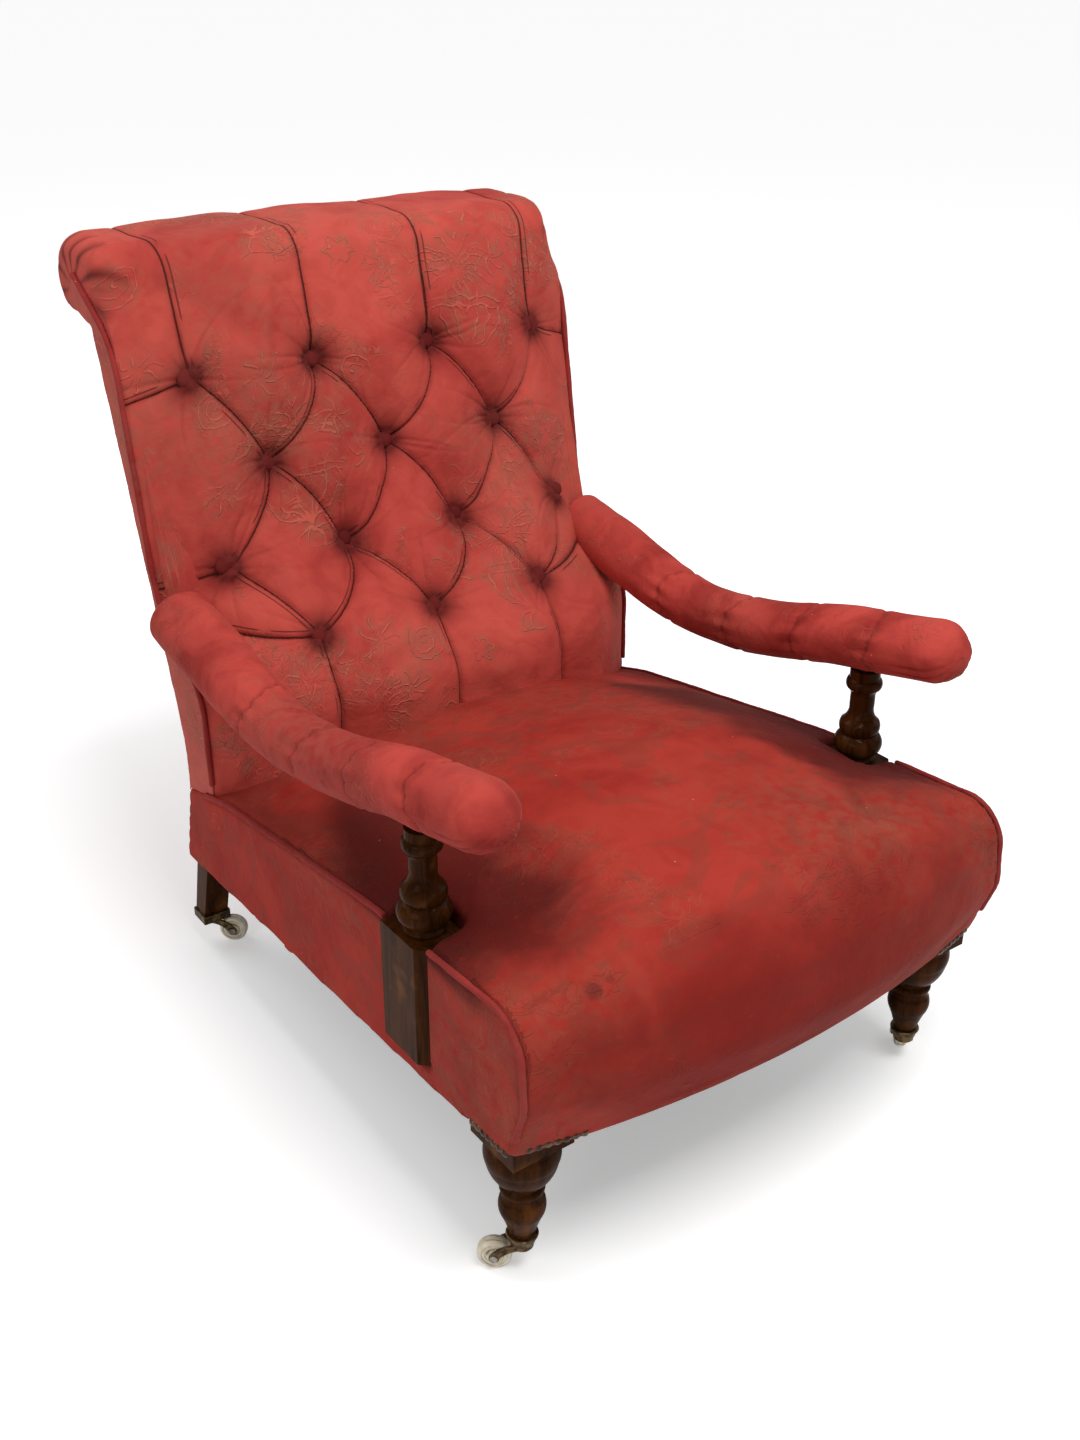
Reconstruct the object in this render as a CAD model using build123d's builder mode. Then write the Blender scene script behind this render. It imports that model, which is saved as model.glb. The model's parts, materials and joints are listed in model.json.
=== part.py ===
from build123d import *
from math import atan2, cos, degrees, pi, radians, sin, tan
import os

# A deep buttoned open-arm library chair on four castors, in millimetres.
# The sitter looks along -Y, X runs across the chair and the wheels stand on Z = 0.
# Every Y and Z below is a place in the chair's own frame, whose origin lies on the
# floor under the middle of the whole chair.

# Driving dimensions of the whole chair
chair_depth = 1010.0
back_height = 874.0
seat_front_half_width = 314.0
seat_rear_half_width = 305.0
back_half_width = 302.2
front_leg_x = 272.0
front_leg_y = -390.0
rear_leg_x = 278.0
arm_x = 288.0
fit_gap = 0.3
cut_overrun = 60.0

# The raked rear leg runs on as the reclined upright of the back
leg_rake = 14.8
back_recline = 16.8
knee_y = 245.6
knee_z = 288.0
knee_round = 220.0
post_width = 32.0
post_depth = 34.0
post_foot_depth = 25.0
post_top_z = 790.0
panel_thickness = 2.5

# The seat frame slopes down to the rear
frame_front_z = 192.0
frame_slope = 3.7
rail_height = 58.0
rail_thickness = 28.0
side_rail_outer_x = 296.0
front_rail_bow = 34.0
front_rail_thickness = 30.0
rear_rail_thickness = 24.0
block_size = 70.0
glue_block_leg = 30.0
glue_block_height = 30.0

# Webbing, springs and cloths of the seat
webbing_width = 50.0
webbing_thickness = 2.0
seat_web_first = 70.0
seat_web_pitch = 130.0
seat_web_rows = 5
seat_web_column_pitch = 98.0
seat_web_columns = 5
rail_lap = 6.0
cloth_thickness = 1.2
cloth_corner = 46.0
spring_height = 96.0
spring_radius = 34.0
spring_waist_radius = 23.0
spring_wire = 4.0
spring_turns = 3
spring_sides = 12
spring_columns = 3
spring_rows = 3
spring_zone_half_width = 232.0
spring_zone_start = 40.0
spring_zone_length = 520.0

# The stuffed seat: its side outline and its middle outline, which bulges over the front
seat_low_z = 143.0
seat_rise = 262.0
seat_rear_side_z = 252.0
seat_rear_middle_z = 268.0
seat_side_shares = ((0.101, 0.160), (0.068, 0.454), (0.078, 0.790), (0.404, 0.721), (0.820, 0.534))
seat_middle_shares = ((0.051, 0.168), (0.000, 0.454), (0.013, 0.874), (0.404, 1.000), (0.785, 0.744))
seat_rounds = (6.0, 10.0, 45.0, 45.0, 450.0, 200.0, 6.0)
seat_station_shares = (-1.0, -0.86, -0.5, 0.0, 0.5, 0.86, 1.0)

# The stuffed back: a lower swell, a buttoned face and a scroll that rolls over the crest
back_front_y = 108.0
back_low_z = 205.0
back_side_shares = (
    (0.194, 0.000),
    (0.202, 0.291),
    (0.465, 0.426),
    (0.581, 0.845),
    (0.631, 0.991),
    (0.995, 0.991),
    (0.995, 0.857),
)
back_middle_shares = (
    (0.018, 0.000),
    (0.000, 0.269),
    (0.338, 0.531),
    (0.429, 0.800),
    (0.548, 1.000),
    (1.000, 1.000),
    (1.000, 0.854),
)
back_rounds = (5.0, 8.0, 70.0, 80.0, 120.0, 50.0, 46.0, 43.0, 12.0, 220.0)
back_station_shares = (-1.0, -0.92, -0.72, -0.4, 0.0, 0.4, 0.72, 0.92, 1.0)
back_bulge_power = 4

# Buttons in four rows, five fingers apart, and the pleats that run between them
button_pitch = 157.5
button_radius = 9.5
button_height = 6.0
button_rise_shares = (0.780, 0.626, 0.475, 0.354)
button_reach_shares = (0.509, 0.441, 0.369, 0.184)
button_counts = (4, 3, 4, 3)
button_tilts = (15.0, 15.0, 20.0, 34.0)
pit_mouth_radius = 40.0
pit_depth = 26.0
pit_flare = 14.0
pleat_half_width = 19.0
pleat_depth = 16.0
pleat_lift = 7.0
scroll_pleat_depth = 9.0

# The wooden crest and lower rail of the back
crest_depth = 84.0
crest_height = 44.0
crest_round = 12.0
tacking_rail_z = 366.0
tacking_rail_height = 52.0
tacking_rail_thickness = 22.0
back_web_first = 60.0
back_web_pitch = 84.0
back_web_rows = 5
back_web_columns = 4
back_web_column_pitch = 120.0

# The padded arms, drawn in behind the hand, and the rail inside each
arm_front_y = -384.0
arm_length = 650.0
arm_low_z = 425.0
arm_rise = 88.0
arm_station_shares = (
    (0.000, 1.000, 0.13),
    (0.013, 0.970, 0.27),
    (0.045, 0.909, 0.37),
    (0.145, 0.739, 0.40),
    (0.252, 0.568, 0.40),
    (0.406, 0.227, 0.38),
    (0.529, 0.057, 0.38),
    (0.637, 0.000, 0.385),
    (0.760, 0.114, 0.41),
    (0.868, 0.284, 0.43),
    (1.000, 0.455, 0.43),
)
arm_rail_width = 26.0
arm_rail_height = 20.0
arm_rail_first = 3

# The arm support: a square block housed over the rail, with a turned baluster on it
support_y = -256.0
support_outer_x = 318.0
support_width = 56.0
support_depth = 72.0
support_low_z = 200.0
support_top_z = 335.0
support_chamfer = 12.0
baluster_radius = 27.8
baluster_tenon_radius = 9.0
baluster_shares = (
    (0.000, 0.72, 0.05),
    (0.045, 0.72, 0.00),
    (0.063, 0.66, 0.00),
    (0.072, 0.70, 0.28),
    (0.306, 0.70, 0.00),
    (0.324, 0.78, 0.05),
    (0.432, 0.78, -0.10),
    (0.604, 0.50, 0.00),
    (0.703, 0.50, -0.05),
    (0.793, 0.64, 0.00),
    (0.802, 0.68, 0.05),
    (0.892, 0.68, 0.00),
    (0.910, 0.61, 0.00),
    (1.000, 0.61, 0.00),
)

# The turned front leg below its square block
leg_block_z = 167.0
leg_overlap = 3.0
leg_radius = 37.5
leg_shares = (
    (0.000, 0.325, 0.00),
    (0.055, 0.325, 0.00),
    (0.060, 0.350, -0.02),
    (0.270, 0.590, 0.04),
    (0.400, 0.590, -0.02),
    (0.465, 0.520, 0.00),
    (0.480, 0.550, 0.05),
    (0.540, 0.550, 0.00),
    (0.560, 0.500, 0.00),
    (0.570, 0.560, 0.07),
    (0.790, 0.960, 0.06),
    (0.950, 0.930, 0.03),
    (1.000, 0.800, 0.00),
)

# Piping, nails and facings
piping_radius = 3.5
facing_thickness = 2.5
facing_tongue_shares = ((0.816, 0.934), (0.882, 0.882))
facing_rounds = (5.0, 8.0, 70.0, 80.0, 90.0, 12.0, 8.0, 6.0, 220.0)
piping_start_share = 0.42
nail_radius = 4.2
nail_height = 2.4
nail_pitch = 9.0
nail_rise = 7.0
nail_standoff = 0.5

# Castors: a cup on the leg, a swivelling horn with an axle, and a ceramic wheel
wheel_radius = 17.5
wheel_width = 14.0
wheel_edge_round = 4.0
hub_radius = 7.5
hub_step = 0.8
castor_trail = 27.0
horn_crown_share = 0.8
cup_low_z = 35.6
cup_height = 11.0
cup_floor = 5.0
cup_low_radius = 13.0
cup_radius = 14.8
cup_bead = 1.6
cup_wall = 2.2
swivel_pin_radius = 3.2
running_fit = 0.06
horn_thickness = 3.2
horn_boss_radius = 11.6
horn_boss_height = 5.4
horn_eye_radius = 5.2
axle_radius = 2.4
axle_head_radius = 4.0
axle_head = 1.2
wheel_side_gap = 0.5
castor_headings = {
    "front_left": 140.0,
    "front_right": 45.0,
    "rear_left": -38.0,
    "rear_right": -120.0,
}

os.makedirs("parts", exist_ok=True)


# Places that follow from the driving dimensions


def rear_line(z):
    """Y of the chair's rear outline at height z, straight on each side of the knee."""
    lean = back_recline if z > knee_z else -leg_rake
    return knee_y + abs(z - knee_z) * tan(radians(abs(lean)))


def frame_underside(y):
    """Height of the sloping underside of the seat rails at depth y."""
    return frame_front_z - (y - front_leg_y) * tan(radians(frame_slope))


def frame_top(y):
    """Height of the sloping top of the seat rails at depth y."""
    return frame_underside(y) + rail_height


def blend(first, second, share):
    """A point between two points."""
    return tuple(a + (b - a) * share for a, b in zip(first, second))


nose_y = -chair_depth / 2
scroll_rear_y = chair_depth / 2
seat_depth = rear_line(seat_low_z) - nose_y
back_reach = scroll_rear_y - back_front_y
back_rise = back_height - back_low_z
post_rear_setback = panel_thickness + fit_gap
bay_half_width = rear_leg_x + post_width / 2 + fit_gap


def rounded_path(corners, rounds, closed=True):
    """Draws straight runs through the corners, joined by tangent arcs of the given radii."""
    count = len(corners)
    pen = None if closed else corners[0]
    first = None
    turns = range(count) if closed else range(1, count - 1)
    for place, radius in zip(turns, rounds):
        before, corner, after = corners[place - 1], corners[place], corners[(place + 1) % count]
        arrive = Vector(corner[0] - before[0], corner[1] - before[1]).normalized()
        leave = Vector(after[0] - corner[0], after[1] - corner[1]).normalized()
        half_turn = radians(arrive.get_angle(leave)) / 2
        reach = radius * tan(half_turn)
        inward = (leave - arrive).normalized() * (radius / cos(half_turn) - radius)
        here = Vector(corner[0], corner[1])
        start, middle, end = here - arrive * reach, here + inward, here + leave * reach
        start, middle, end = ((point.X, point.Y) for point in (start, middle, end))
        if pen is not None:
            Line(pen, start)
        ThreePointArc(start, middle, end)
        first = first or start
        pen = end
    Line(pen, first if closed else corners[-1])


def across(corners, half_width, centre_x=0.0, mode=Mode.ADD):
    """Extrudes a closed outline in Y and Z across the chair, in the part that is being made."""
    with BuildSketch(Plane.YZ.offset(centre_x - half_width)) as outline:
        with BuildLine():
            Polyline(*corners, close=True)
        make_face()
    extrude(outline.sketch, amount=2 * half_width, mode=mode)


def save(piece, name):
    """Labels a finished piece and writes it."""
    piece.part.label = name
    export_step(piece.part, f"parts/{name}.step")


def mirrored(piece):
    """The same piece on the other side of the chair."""
    with BuildPart() as other:
        mirror(piece.part, about=Plane.YZ)
    return other


# Outlines of the stuffed seat and back


def seat_outline(side):
    """Corners of the seat's outline at a share of the way out to the side."""
    fullness = 1 - side**2
    rear = rear_line(seat_low_z)
    corners = [(rear, seat_low_z)]
    for low, high in zip(seat_side_shares, seat_middle_shares):
        depth_share, rise_share = blend(low, high, fullness)
        corners.append((nose_y + seat_depth * depth_share, seat_low_z + seat_rise * rise_share))
    top_z = seat_rear_side_z + (seat_rear_middle_z - seat_rear_side_z) * fullness
    corners.append((rear_line(top_z), top_z))
    return corners


def seat_body(raised=0.0, widened=0.0):
    """The plain stuffed seat, lofted across the chair, tapering a little to the rear."""
    rear_y = rear_line(seat_low_z)
    with BuildPart() as body:
        for side in seat_station_shares:
            front_x = side * (seat_front_half_width + widened)
            rear_x = side * (seat_rear_half_width + widened)
            plane = Plane(
                origin=(front_x, nose_y, raised),
                x_dir=(rear_x - front_x, rear_y - nose_y, 0),
                z_dir=(rear_y - nose_y, front_x - rear_x, 0),
            )
            corners = [(y - nose_y, z) for y, z in seat_outline(side)]
            with BuildSketch(plane):
                with BuildLine():
                    rounded_path(corners, seat_rounds)
                make_face()
        loft()
    return body


def seat_side_x(y):
    """Half the width of the seat at depth y."""
    share = (y - nose_y) / seat_depth
    return seat_front_half_width + (seat_rear_half_width - seat_front_half_width) * share


def back_outline(side):
    """Corners of the back's outline at a share of the way out to the side."""
    fullness = 1 - abs(side) ** back_bulge_power
    corners = [(rear_line(back_low_z), back_low_z)]
    for low, high in zip(back_side_shares, back_middle_shares):
        reach_share, rise_share = blend(low, high, fullness)
        corners.append((back_front_y + back_reach * reach_share, back_low_z + back_rise * rise_share))
    underside_z = corners[-1][1]
    return corners + [(rear_line(underside_z), underside_z), (knee_y, knee_z)]


def back_body(widened=0.0):
    """The plain stuffed back, lofted across the chair."""
    with BuildPart() as body:
        for side in back_station_shares:
            with BuildSketch(Plane.YZ.offset(side * (back_half_width + widened))):
                with BuildLine():
                    rounded_path(back_outline(side), back_rounds)
                make_face()
        loft()
    return body


def post_corners(grow=0.0, thickness=None, setback=None):
    """Outline of the rear leg and upright, or of a layer that follows them."""
    depth = post_depth if thickness is None else thickness
    behind = post_rear_setback if setback is None else setback
    foot = post_foot_depth if thickness is None else thickness
    low_z = cup_low_z + cup_floor if thickness is None else frame_underside(knee_y)
    rear = [(rear_line(z) - behind + grow, z) for z in (low_z, knee_z, post_top_z + grow)]
    front = [(y - depth - 2 * grow, z) for y, z in rear]
    front[0] = (rear[0][0] - foot - 2 * grow, low_z)
    return rear + front[::-1]


def post_body(grow=0.0):
    """The rear leg and upright as one bent timber."""
    with BuildPart() as body:
        with BuildSketch(Plane.YZ.offset(rear_leg_x - post_width / 2 - grow)):
            with BuildLine():
                Polyline(*post_corners(grow), close=True)
            make_face()
            knees = vertices().sort_by(lambda v: abs(v.Y - knee_z))[:2].sort_by(Axis.X)
            fillet(knees[1], knee_round)
            fillet(knees[0], knee_round + post_depth)
        extrude(amount=post_width + 2 * grow)
    return body


def post_front(z):
    """Y of the front face of the rear leg and upright at height z."""
    if z >= knee_z:
        return rear_line(z) - post_rear_setback - post_depth
    foot_z = cup_low_z + cup_floor
    depth = post_foot_depth + (post_depth - post_foot_depth) * (z - foot_z) / (knee_z - foot_z)
    return rear_line(z) - post_rear_setback - depth


# Rear legs with the uprights of the back

right_post = post_body()
save(right_post, "right_back_post")
save(mirrored(right_post), "left_back_post")


# Seat rails and glue blocks


def rail_bow(front_grow=0.0):
    """Corner and middle places of the front rail's bowed front edge."""
    end_y = front_leg_y - block_size / 2 + fit_gap - front_grow
    return end_y, end_y - front_rail_bow


block_inner_x = front_leg_x - block_size / 2
block_rear_y = front_leg_y + block_size / 2
side_rail_inner_x = side_rail_outer_x - rail_thickness

with BuildPart() as front_rail:
    bow_end_y, bow_middle_y = rail_bow()
    with BuildSketch(Plane.XY.offset(frame_underside(block_rear_y))):
        with BuildLine():
            ends = [(-block_inner_x, bow_end_y), (block_inner_x, bow_end_y)]
            inner = [(x, y + front_rail_thickness) for x, y in ends]
            ThreePointArc(ends[0], (0, bow_middle_y), ends[1])
            Line(ends[1], inner[1])
            ThreePointArc(inner[1], (0, bow_middle_y + front_rail_thickness), inner[0])
            Line(inner[0], ends[0])
        make_face()
    extrude(amount=frame_top(block_rear_y) - frame_underside(block_rear_y) + rail_height)
    slab_front_y = bow_middle_y - cut_overrun
    slab_corners = [
        (slab_front_y, frame_underside(slab_front_y)),
        (block_rear_y, frame_underside(block_rear_y)),
        (block_rear_y, frame_top(block_rear_y)),
        (slab_front_y, frame_top(slab_front_y)),
    ]
    across(slab_corners, front_leg_x, mode=Mode.INTERSECT)
save(front_rail, "front_seat_rail")

with BuildPart() as right_side_rail:
    rear_low_z = frame_underside(post_front(frame_underside(knee_y)))
    rear_high_z = rear_low_z + rail_height
    side_rail_corners = [
        (block_rear_y, frame_underside(block_rear_y)),
        (post_front(rear_low_z), rear_low_z),
        (post_front(rear_high_z), rear_high_z),
        (block_rear_y, frame_top(block_rear_y)),
    ]
    across(side_rail_corners, rail_thickness / 2, side_rail_outer_x - rail_thickness / 2)
save(right_side_rail, "right_side_rail")
save(mirrored(right_side_rail), "left_side_rail")

with BuildPart() as rear_rail:
    rear_rail_corners = [
        (post_front(rear_low_z), rear_low_z),
        (post_front(rear_low_z) + rear_rail_thickness, rear_low_z),
        (post_front(rear_high_z) + rear_rail_thickness, rear_high_z),
        (post_front(rear_high_z), rear_high_z),
    ]
    across(rear_rail_corners, rear_leg_x - post_width / 2)
save(rear_rail, "rear_seat_rail")

with BuildPart() as glue_blocks:
    corner_x = side_rail_inner_x
    for corner_y, toward in ((block_rear_y, 1), (post_front(rear_low_z), -1)):
        base_z = frame_underside(corner_y) + rear_rail_thickness / 2 - toward * rear_rail_thickness / 4
        with BuildSketch(Plane.XY.offset(base_z)):
            with BuildLine():
                reach_y = corner_y + toward * glue_block_leg
                inner_end = (corner_x - glue_block_leg, corner_y)
                Polyline((corner_x, corner_y), inner_end, (corner_x, reach_y), close=True)
            make_face()
        extrude(amount=glue_block_height)
    add(rear_rail.part, mode=Mode.SUBTRACT)
    add(right_post.part, mode=Mode.SUBTRACT)
    mirror(about=Plane.YZ)
save(glue_blocks, "seat_glue_blocks")


# Front legs, each turned below a square block


def turned_face(rise, radius, shares):
    """Half of a turned form on the XZ plane, its beads and coves as arcs between stations."""
    points = [(radius * radius_share, rise * rise_share) for rise_share, radius_share, _ in shares]
    with BuildSketch(Plane.XZ) as half:
        with BuildLine():
            Line((0, 0), points[0])
            for start, end, swell_share in zip(points, points[1:], (row[2] for row in shares)):
                if swell_share:
                    SagittaArc(start, end, -radius * swell_share)
                else:
                    Line(start, end)
            Line(points[-1], (0, rise))
            Line((0, rise), (0, 0))
        make_face()
    return half.sketch


leg_foot_z = cup_low_z + cup_floor
with BuildPart(Plane((front_leg_x, front_leg_y, leg_foot_z))) as right_front_leg:
    turning_rise = leg_block_z + leg_overlap - leg_foot_z
    turning = turned_face(turning_rise, leg_radius, leg_shares)
    standing = Location((front_leg_x, front_leg_y, leg_foot_z))
    revolve(turning.moved(standing), axis=Axis((front_leg_x, front_leg_y, 0), (0, 0, 1)))
    with BuildSketch(Plane((front_leg_x, front_leg_y, leg_block_z))):
        Rectangle(block_size, block_size)
    extrude(amount=frame_top(block_rear_y) - leg_block_z)
save(right_front_leg, "right_front_leg")
save(mirrored(right_front_leg), "left_front_leg")


# The padded arms and the rails inside them


def arm_stations():
    """Places along the middle of an arm, front to rear, each with the arm's radius there."""
    return [
        (arm_front_y + arm_length * reach, arm_low_z + arm_rise * rise, arm_rise * thick)
        for reach, rise, thick in arm_station_shares
    ]


def arm_at(y):
    """Height of the middle of the arm and its radius at depth y."""
    stations = arm_stations()
    for here, after in zip(stations, stations[1:]):
        if y <= after[0]:
            share = (y - here[0]) / (after[0] - here[0])
            return blend(here, after, share)[1:]
    return stations[-1][1:]


def arm_rail_corners(grow=0.0):
    """Outline of the arm's wooden rail, from behind the hand to the upright."""
    half = arm_rail_height / 2 + grow
    end_z = arm_at(post_front(arm_low_z))[0]
    middle = [(y, z) for y, z, _ in arm_stations()[arm_rail_first:] if y < post_front(end_z) - half]
    middle[0] = (middle[0][0] - grow, middle[0][1])
    low = [(y, z - half) for y, z in middle] + [(post_front(end_z - half), end_z - half)]
    high = [(y, z + half) for y, z in middle] + [(post_front(end_z + half), end_z + half)]
    return low + high[::-1]


baluster_x = support_outer_x - support_width / 2
arm_axis_z, arm_radius = arm_at(support_y)
baluster_rise = arm_axis_z - arm_radius - support_top_z

with BuildPart() as right_support:
    with BuildSketch(Plane((baluster_x, support_y, support_low_z))):
        Rectangle(support_width, support_depth)
    extrude(amount=support_top_z - support_low_z)
    outer_edges = edges().filter_by(Axis.Z).group_by(Axis.X)[-1]
    chamfer(outer_edges.sort_by(Axis.Y)[0], support_chamfer)
    slab_corners = [
        (support_y - support_depth, support_low_z - cut_overrun),
        (support_y + support_depth, support_low_z - cut_overrun),
        (support_y + support_depth, frame_top(support_y + support_depth)),
        (support_y - support_depth, frame_top(support_y - support_depth)),
    ]
    across(slab_corners, support_width, side_rail_outer_x - support_width, Mode.SUBTRACT)
    baluster = turned_face(baluster_rise, baluster_radius, baluster_shares)
    standing = Location((baluster_x, support_y, support_top_z))
    revolve(baluster.moved(standing), axis=Axis((baluster_x, support_y, 0), (0, 0, 1)))
    with BuildSketch(Plane((baluster_x, support_y, support_top_z + baluster_rise / 2))):
        Circle(baluster_tenon_radius)
    extrude(amount=arm_axis_z - support_top_z - baluster_rise / 2)
save(right_support, "right_arm_support")
save(mirrored(right_support), "left_arm_support")

with BuildPart() as right_arm_rail:
    across(arm_rail_corners(), arm_rail_width / 2, arm_x)
    add(right_support.part, mode=Mode.SUBTRACT)
save(right_arm_rail, "right_arm_rail")
save(mirrored(right_arm_rail), "left_arm_rail")


# Piping, a round cord in a tube of the cover, laid along an outline


def cord_along(plane, corners, rounds, radius):
    """A round cord along straight runs and tangent arcs in a plane."""
    with BuildPart() as cord:
        with BuildLine(plane) as route:
            rounded_path(corners, rounds, closed=False)
        with BuildSketch(Plane(route.line @ 0, z_dir=route.line % 0)):
            Circle(radius)
        sweep(path=route.line)
    return cord.part


def seat_side_plane():
    """The upright plane of the seat's right side, measured from the nose along the taper."""
    run = rear_line(seat_low_z) - nose_y
    lean = seat_rear_half_width - seat_front_half_width
    return Plane(origin=(seat_front_half_width, nose_y, 0), x_dir=(lean, run, 0), z_dir=(run, -lean, 0))


def seat_piping(radius, shorter=0.0):
    """The two runs of piping on one side of the seat, before and behind the arm support."""
    outline = [(y - nose_y, z) for y, z in seat_outline(1.0)]
    top_front, top_middle = outline[3], outline[4]
    clear = support_depth / 2 + piping_radius
    breaks = []
    for place in (support_y - clear, support_y + clear):
        share = (place - nose_y - top_front[0]) / (top_middle[0] - top_front[0])
        breaks.append(blend(top_front, top_middle, share))
    front_start = blend(outline[1], outline[2], piping_start_share)
    rear_end = blend(outline[5], outline[6], 1 - piping_start_share)
    front = [front_start, outline[2], top_front, breaks[0]]
    rear = [breaks[1], top_middle, outline[5], rear_end]
    plane = seat_side_plane()
    with BuildPart() as runs:
        add(cord_along(plane, front, seat_rounds[2:4], radius))
        add(cord_along(plane, rear, seat_rounds[4:6], radius))
    return runs


right_seat_piping = seat_piping(piping_radius)
save(right_seat_piping, "right_seat_piping")
save(mirrored(right_seat_piping), "left_seat_piping")


# Webbing, springs and cloths that carry the seat

web_plane = Plane(
    origin=(0, front_leg_y, frame_front_z),
    x_dir=(1, 0, 0),
    z_dir=(0, sin(radians(frame_slope)), cos(radians(frame_slope))),
)
web_middle = seat_web_first + seat_web_pitch * (seat_web_rows - 1) / 2
web_reach = (post_front(rear_low_z) - front_leg_y) / cos(radians(frame_slope))

with BuildPart() as seat_webbing:
    with BuildSketch(web_plane):
        with Locations((0, web_middle)):
            with GridLocations(0, seat_web_pitch, 1, seat_web_rows):
                Rectangle(2 * (side_rail_outer_x - rail_lap), webbing_width)
    extrude(amount=-webbing_thickness)
    column_start = -block_size / 2
    column_end = web_reach + rear_rail_thickness - rail_lap
    with BuildSketch(web_plane.offset(-webbing_thickness)):
        with Locations((0, (column_start + column_end) / 2)):
            with GridLocations(seat_web_column_pitch, 0, seat_web_columns, 1):
                Rectangle(webbing_width, column_end - column_start)
    extrude(amount=-webbing_thickness)
save(seat_webbing, "seat_webbing")


def spring_point(step):
    """A point on the wire of one waisted spring, counted in runs from its foot."""
    runs = spring_turns * spring_sides
    level = step / runs
    waist = sin(pi * level)
    radius = spring_radius + (spring_waist_radius - spring_radius) * waist
    angle = 2 * pi * step / spring_sides
    inset = spring_wire / 2 + 2 * fit_gap
    height = inset + (spring_height - 2 * inset) * level
    return (radius * cos(angle), radius * sin(angle), height)


with BuildPart() as spring:
    with BuildLine() as wire:
        Polyline(*[spring_point(step) for step in range(spring_turns * spring_sides + 1)])
    with BuildSketch(Plane(wire.line @ 0, z_dir=wire.line % 0)):
        Rectangle(spring_wire, spring_wire)
    sweep(path=wire.line, transition=Transition.RIGHT)

with BuildPart() as seat_springs:
    with Locations(web_plane):
        with Locations((0, web_middle)):
            with GridLocations(seat_web_column_pitch, seat_web_pitch, spring_columns, spring_rows):
                add(spring.part)
save(seat_springs, "seat_springs")

with BuildPart() as spring_cover:
    with BuildSketch(web_plane.offset(spring_height)):
        with Locations((0, spring_zone_start + spring_zone_length / 2)):
            Rectangle(2 * spring_zone_half_width, spring_zone_length)
    extrude(amount=cloth_thickness)
save(spring_cover, "spring_cover")

with BuildPart() as bottom_cloth:
    with BuildSketch(web_plane.offset(-2 * webbing_thickness - fit_gap)):
        with Locations((0, (cloth_corner + web_reach - rail_lap) / 2)):
            Rectangle(2 * side_rail_outer_x - rail_lap, web_reach - rail_lap - cloth_corner)
        with Locations((0, (column_start + column_end) / 2)):
            Rectangle(2 * (block_inner_x - rail_lap), column_end - column_start)
    extrude(amount=-cloth_thickness)
save(bottom_cloth, "bottom_cloth")


# The stuffed seat, hollow underneath for its frame and springs


def bay_corners(low_z):
    """The room between the uprights, from the back webbing to beyond the outside back."""
    layers = 2 * webbing_thickness + fit_gap
    far_y = rear_line(post_top_z) + cut_overrun
    return [
        (post_front(low_z) - layers, low_z),
        (post_front(knee_z) - layers, knee_z),
        (post_front(post_top_z) - layers, post_top_z),
        (rear_line(post_top_z) - post_rear_setback + fit_gap, post_top_z),
        (rear_line(panel_top_z) - post_rear_setback + fit_gap, panel_top_z + fit_gap),
        (far_y, panel_top_z + fit_gap),
        (far_y, low_z),
    ]


panel_top_z = back_low_z + back_rise * back_middle_shares[-1][1] - 2 * fit_gap
hollow_low_z = leg_foot_z + cut_overrun

with BuildPart() as seat_hollow:
    hollow_rear_y = rear_line(seat_low_z) + cut_overrun
    side_x = side_rail_outer_x + fit_gap
    block_x = front_leg_x + block_size / 2 + fit_gap
    with BuildSketch(Plane.XY.offset(hollow_low_z)):
        with BuildLine():
            bow_end_y, bow_middle_y = rail_bow(2 * fit_gap)
            ThreePointArc((-block_inner_x, bow_end_y), (0, bow_middle_y), (block_inner_x, bow_end_y))
            Polyline(
                (block_inner_x, bow_end_y),
                (block_x, bow_end_y),
                (block_x, block_rear_y + fit_gap),
                (side_x, block_rear_y + fit_gap),
                (side_x, hollow_rear_y),
                (-side_x, hollow_rear_y),
                (-side_x, block_rear_y + fit_gap),
                (-block_x, block_rear_y + fit_gap),
                (-block_x, bow_end_y),
                (-block_inner_x, bow_end_y),
            )
        make_face()
    extrude(amount=frame_top(nose_y) - hollow_low_z)
    under_top_corners = [
        (nose_y - cut_overrun, hollow_low_z - cut_overrun),
        (hollow_rear_y + cut_overrun, hollow_low_z - cut_overrun),
        (hollow_rear_y + cut_overrun, frame_top(hollow_rear_y + cut_overrun) + fit_gap),
        (nose_y - cut_overrun, frame_top(nose_y - cut_overrun) + fit_gap),
    ]
    across(under_top_corners, side_x + cut_overrun, mode=Mode.INTERSECT)
    with BuildSketch(web_plane):
        with Locations((0, spring_zone_start + spring_zone_length / 2)):
            Rectangle(2 * (spring_zone_half_width + fit_gap), spring_zone_length + 2 * fit_gap)
    extrude(amount=spring_height + cloth_thickness + fit_gap)
    across(bay_corners(hollow_low_z), bay_half_width)

with BuildPart() as seat_cushion:
    add(seat_body().part)
    add(seat_hollow.part, mode=Mode.SUBTRACT)
    with BuildSketch(Plane.XY.offset(support_low_z - fit_gap)):
        with Locations((baluster_x, support_y), (-baluster_x, support_y)):
            Rectangle(support_width + 2 * fit_gap, support_depth + 2 * fit_gap)
    extrude(amount=seat_rise, mode=Mode.SUBTRACT)
    grown_piping = seat_piping(piping_radius + fit_gap)
    add(grown_piping.part, mode=Mode.SUBTRACT)
    add(mirrored(grown_piping).part, mode=Mode.SUBTRACT)
save(seat_cushion, "seat_cushion")


# The frame of the back

post_top_front_y = post_front(post_top_z)

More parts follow.
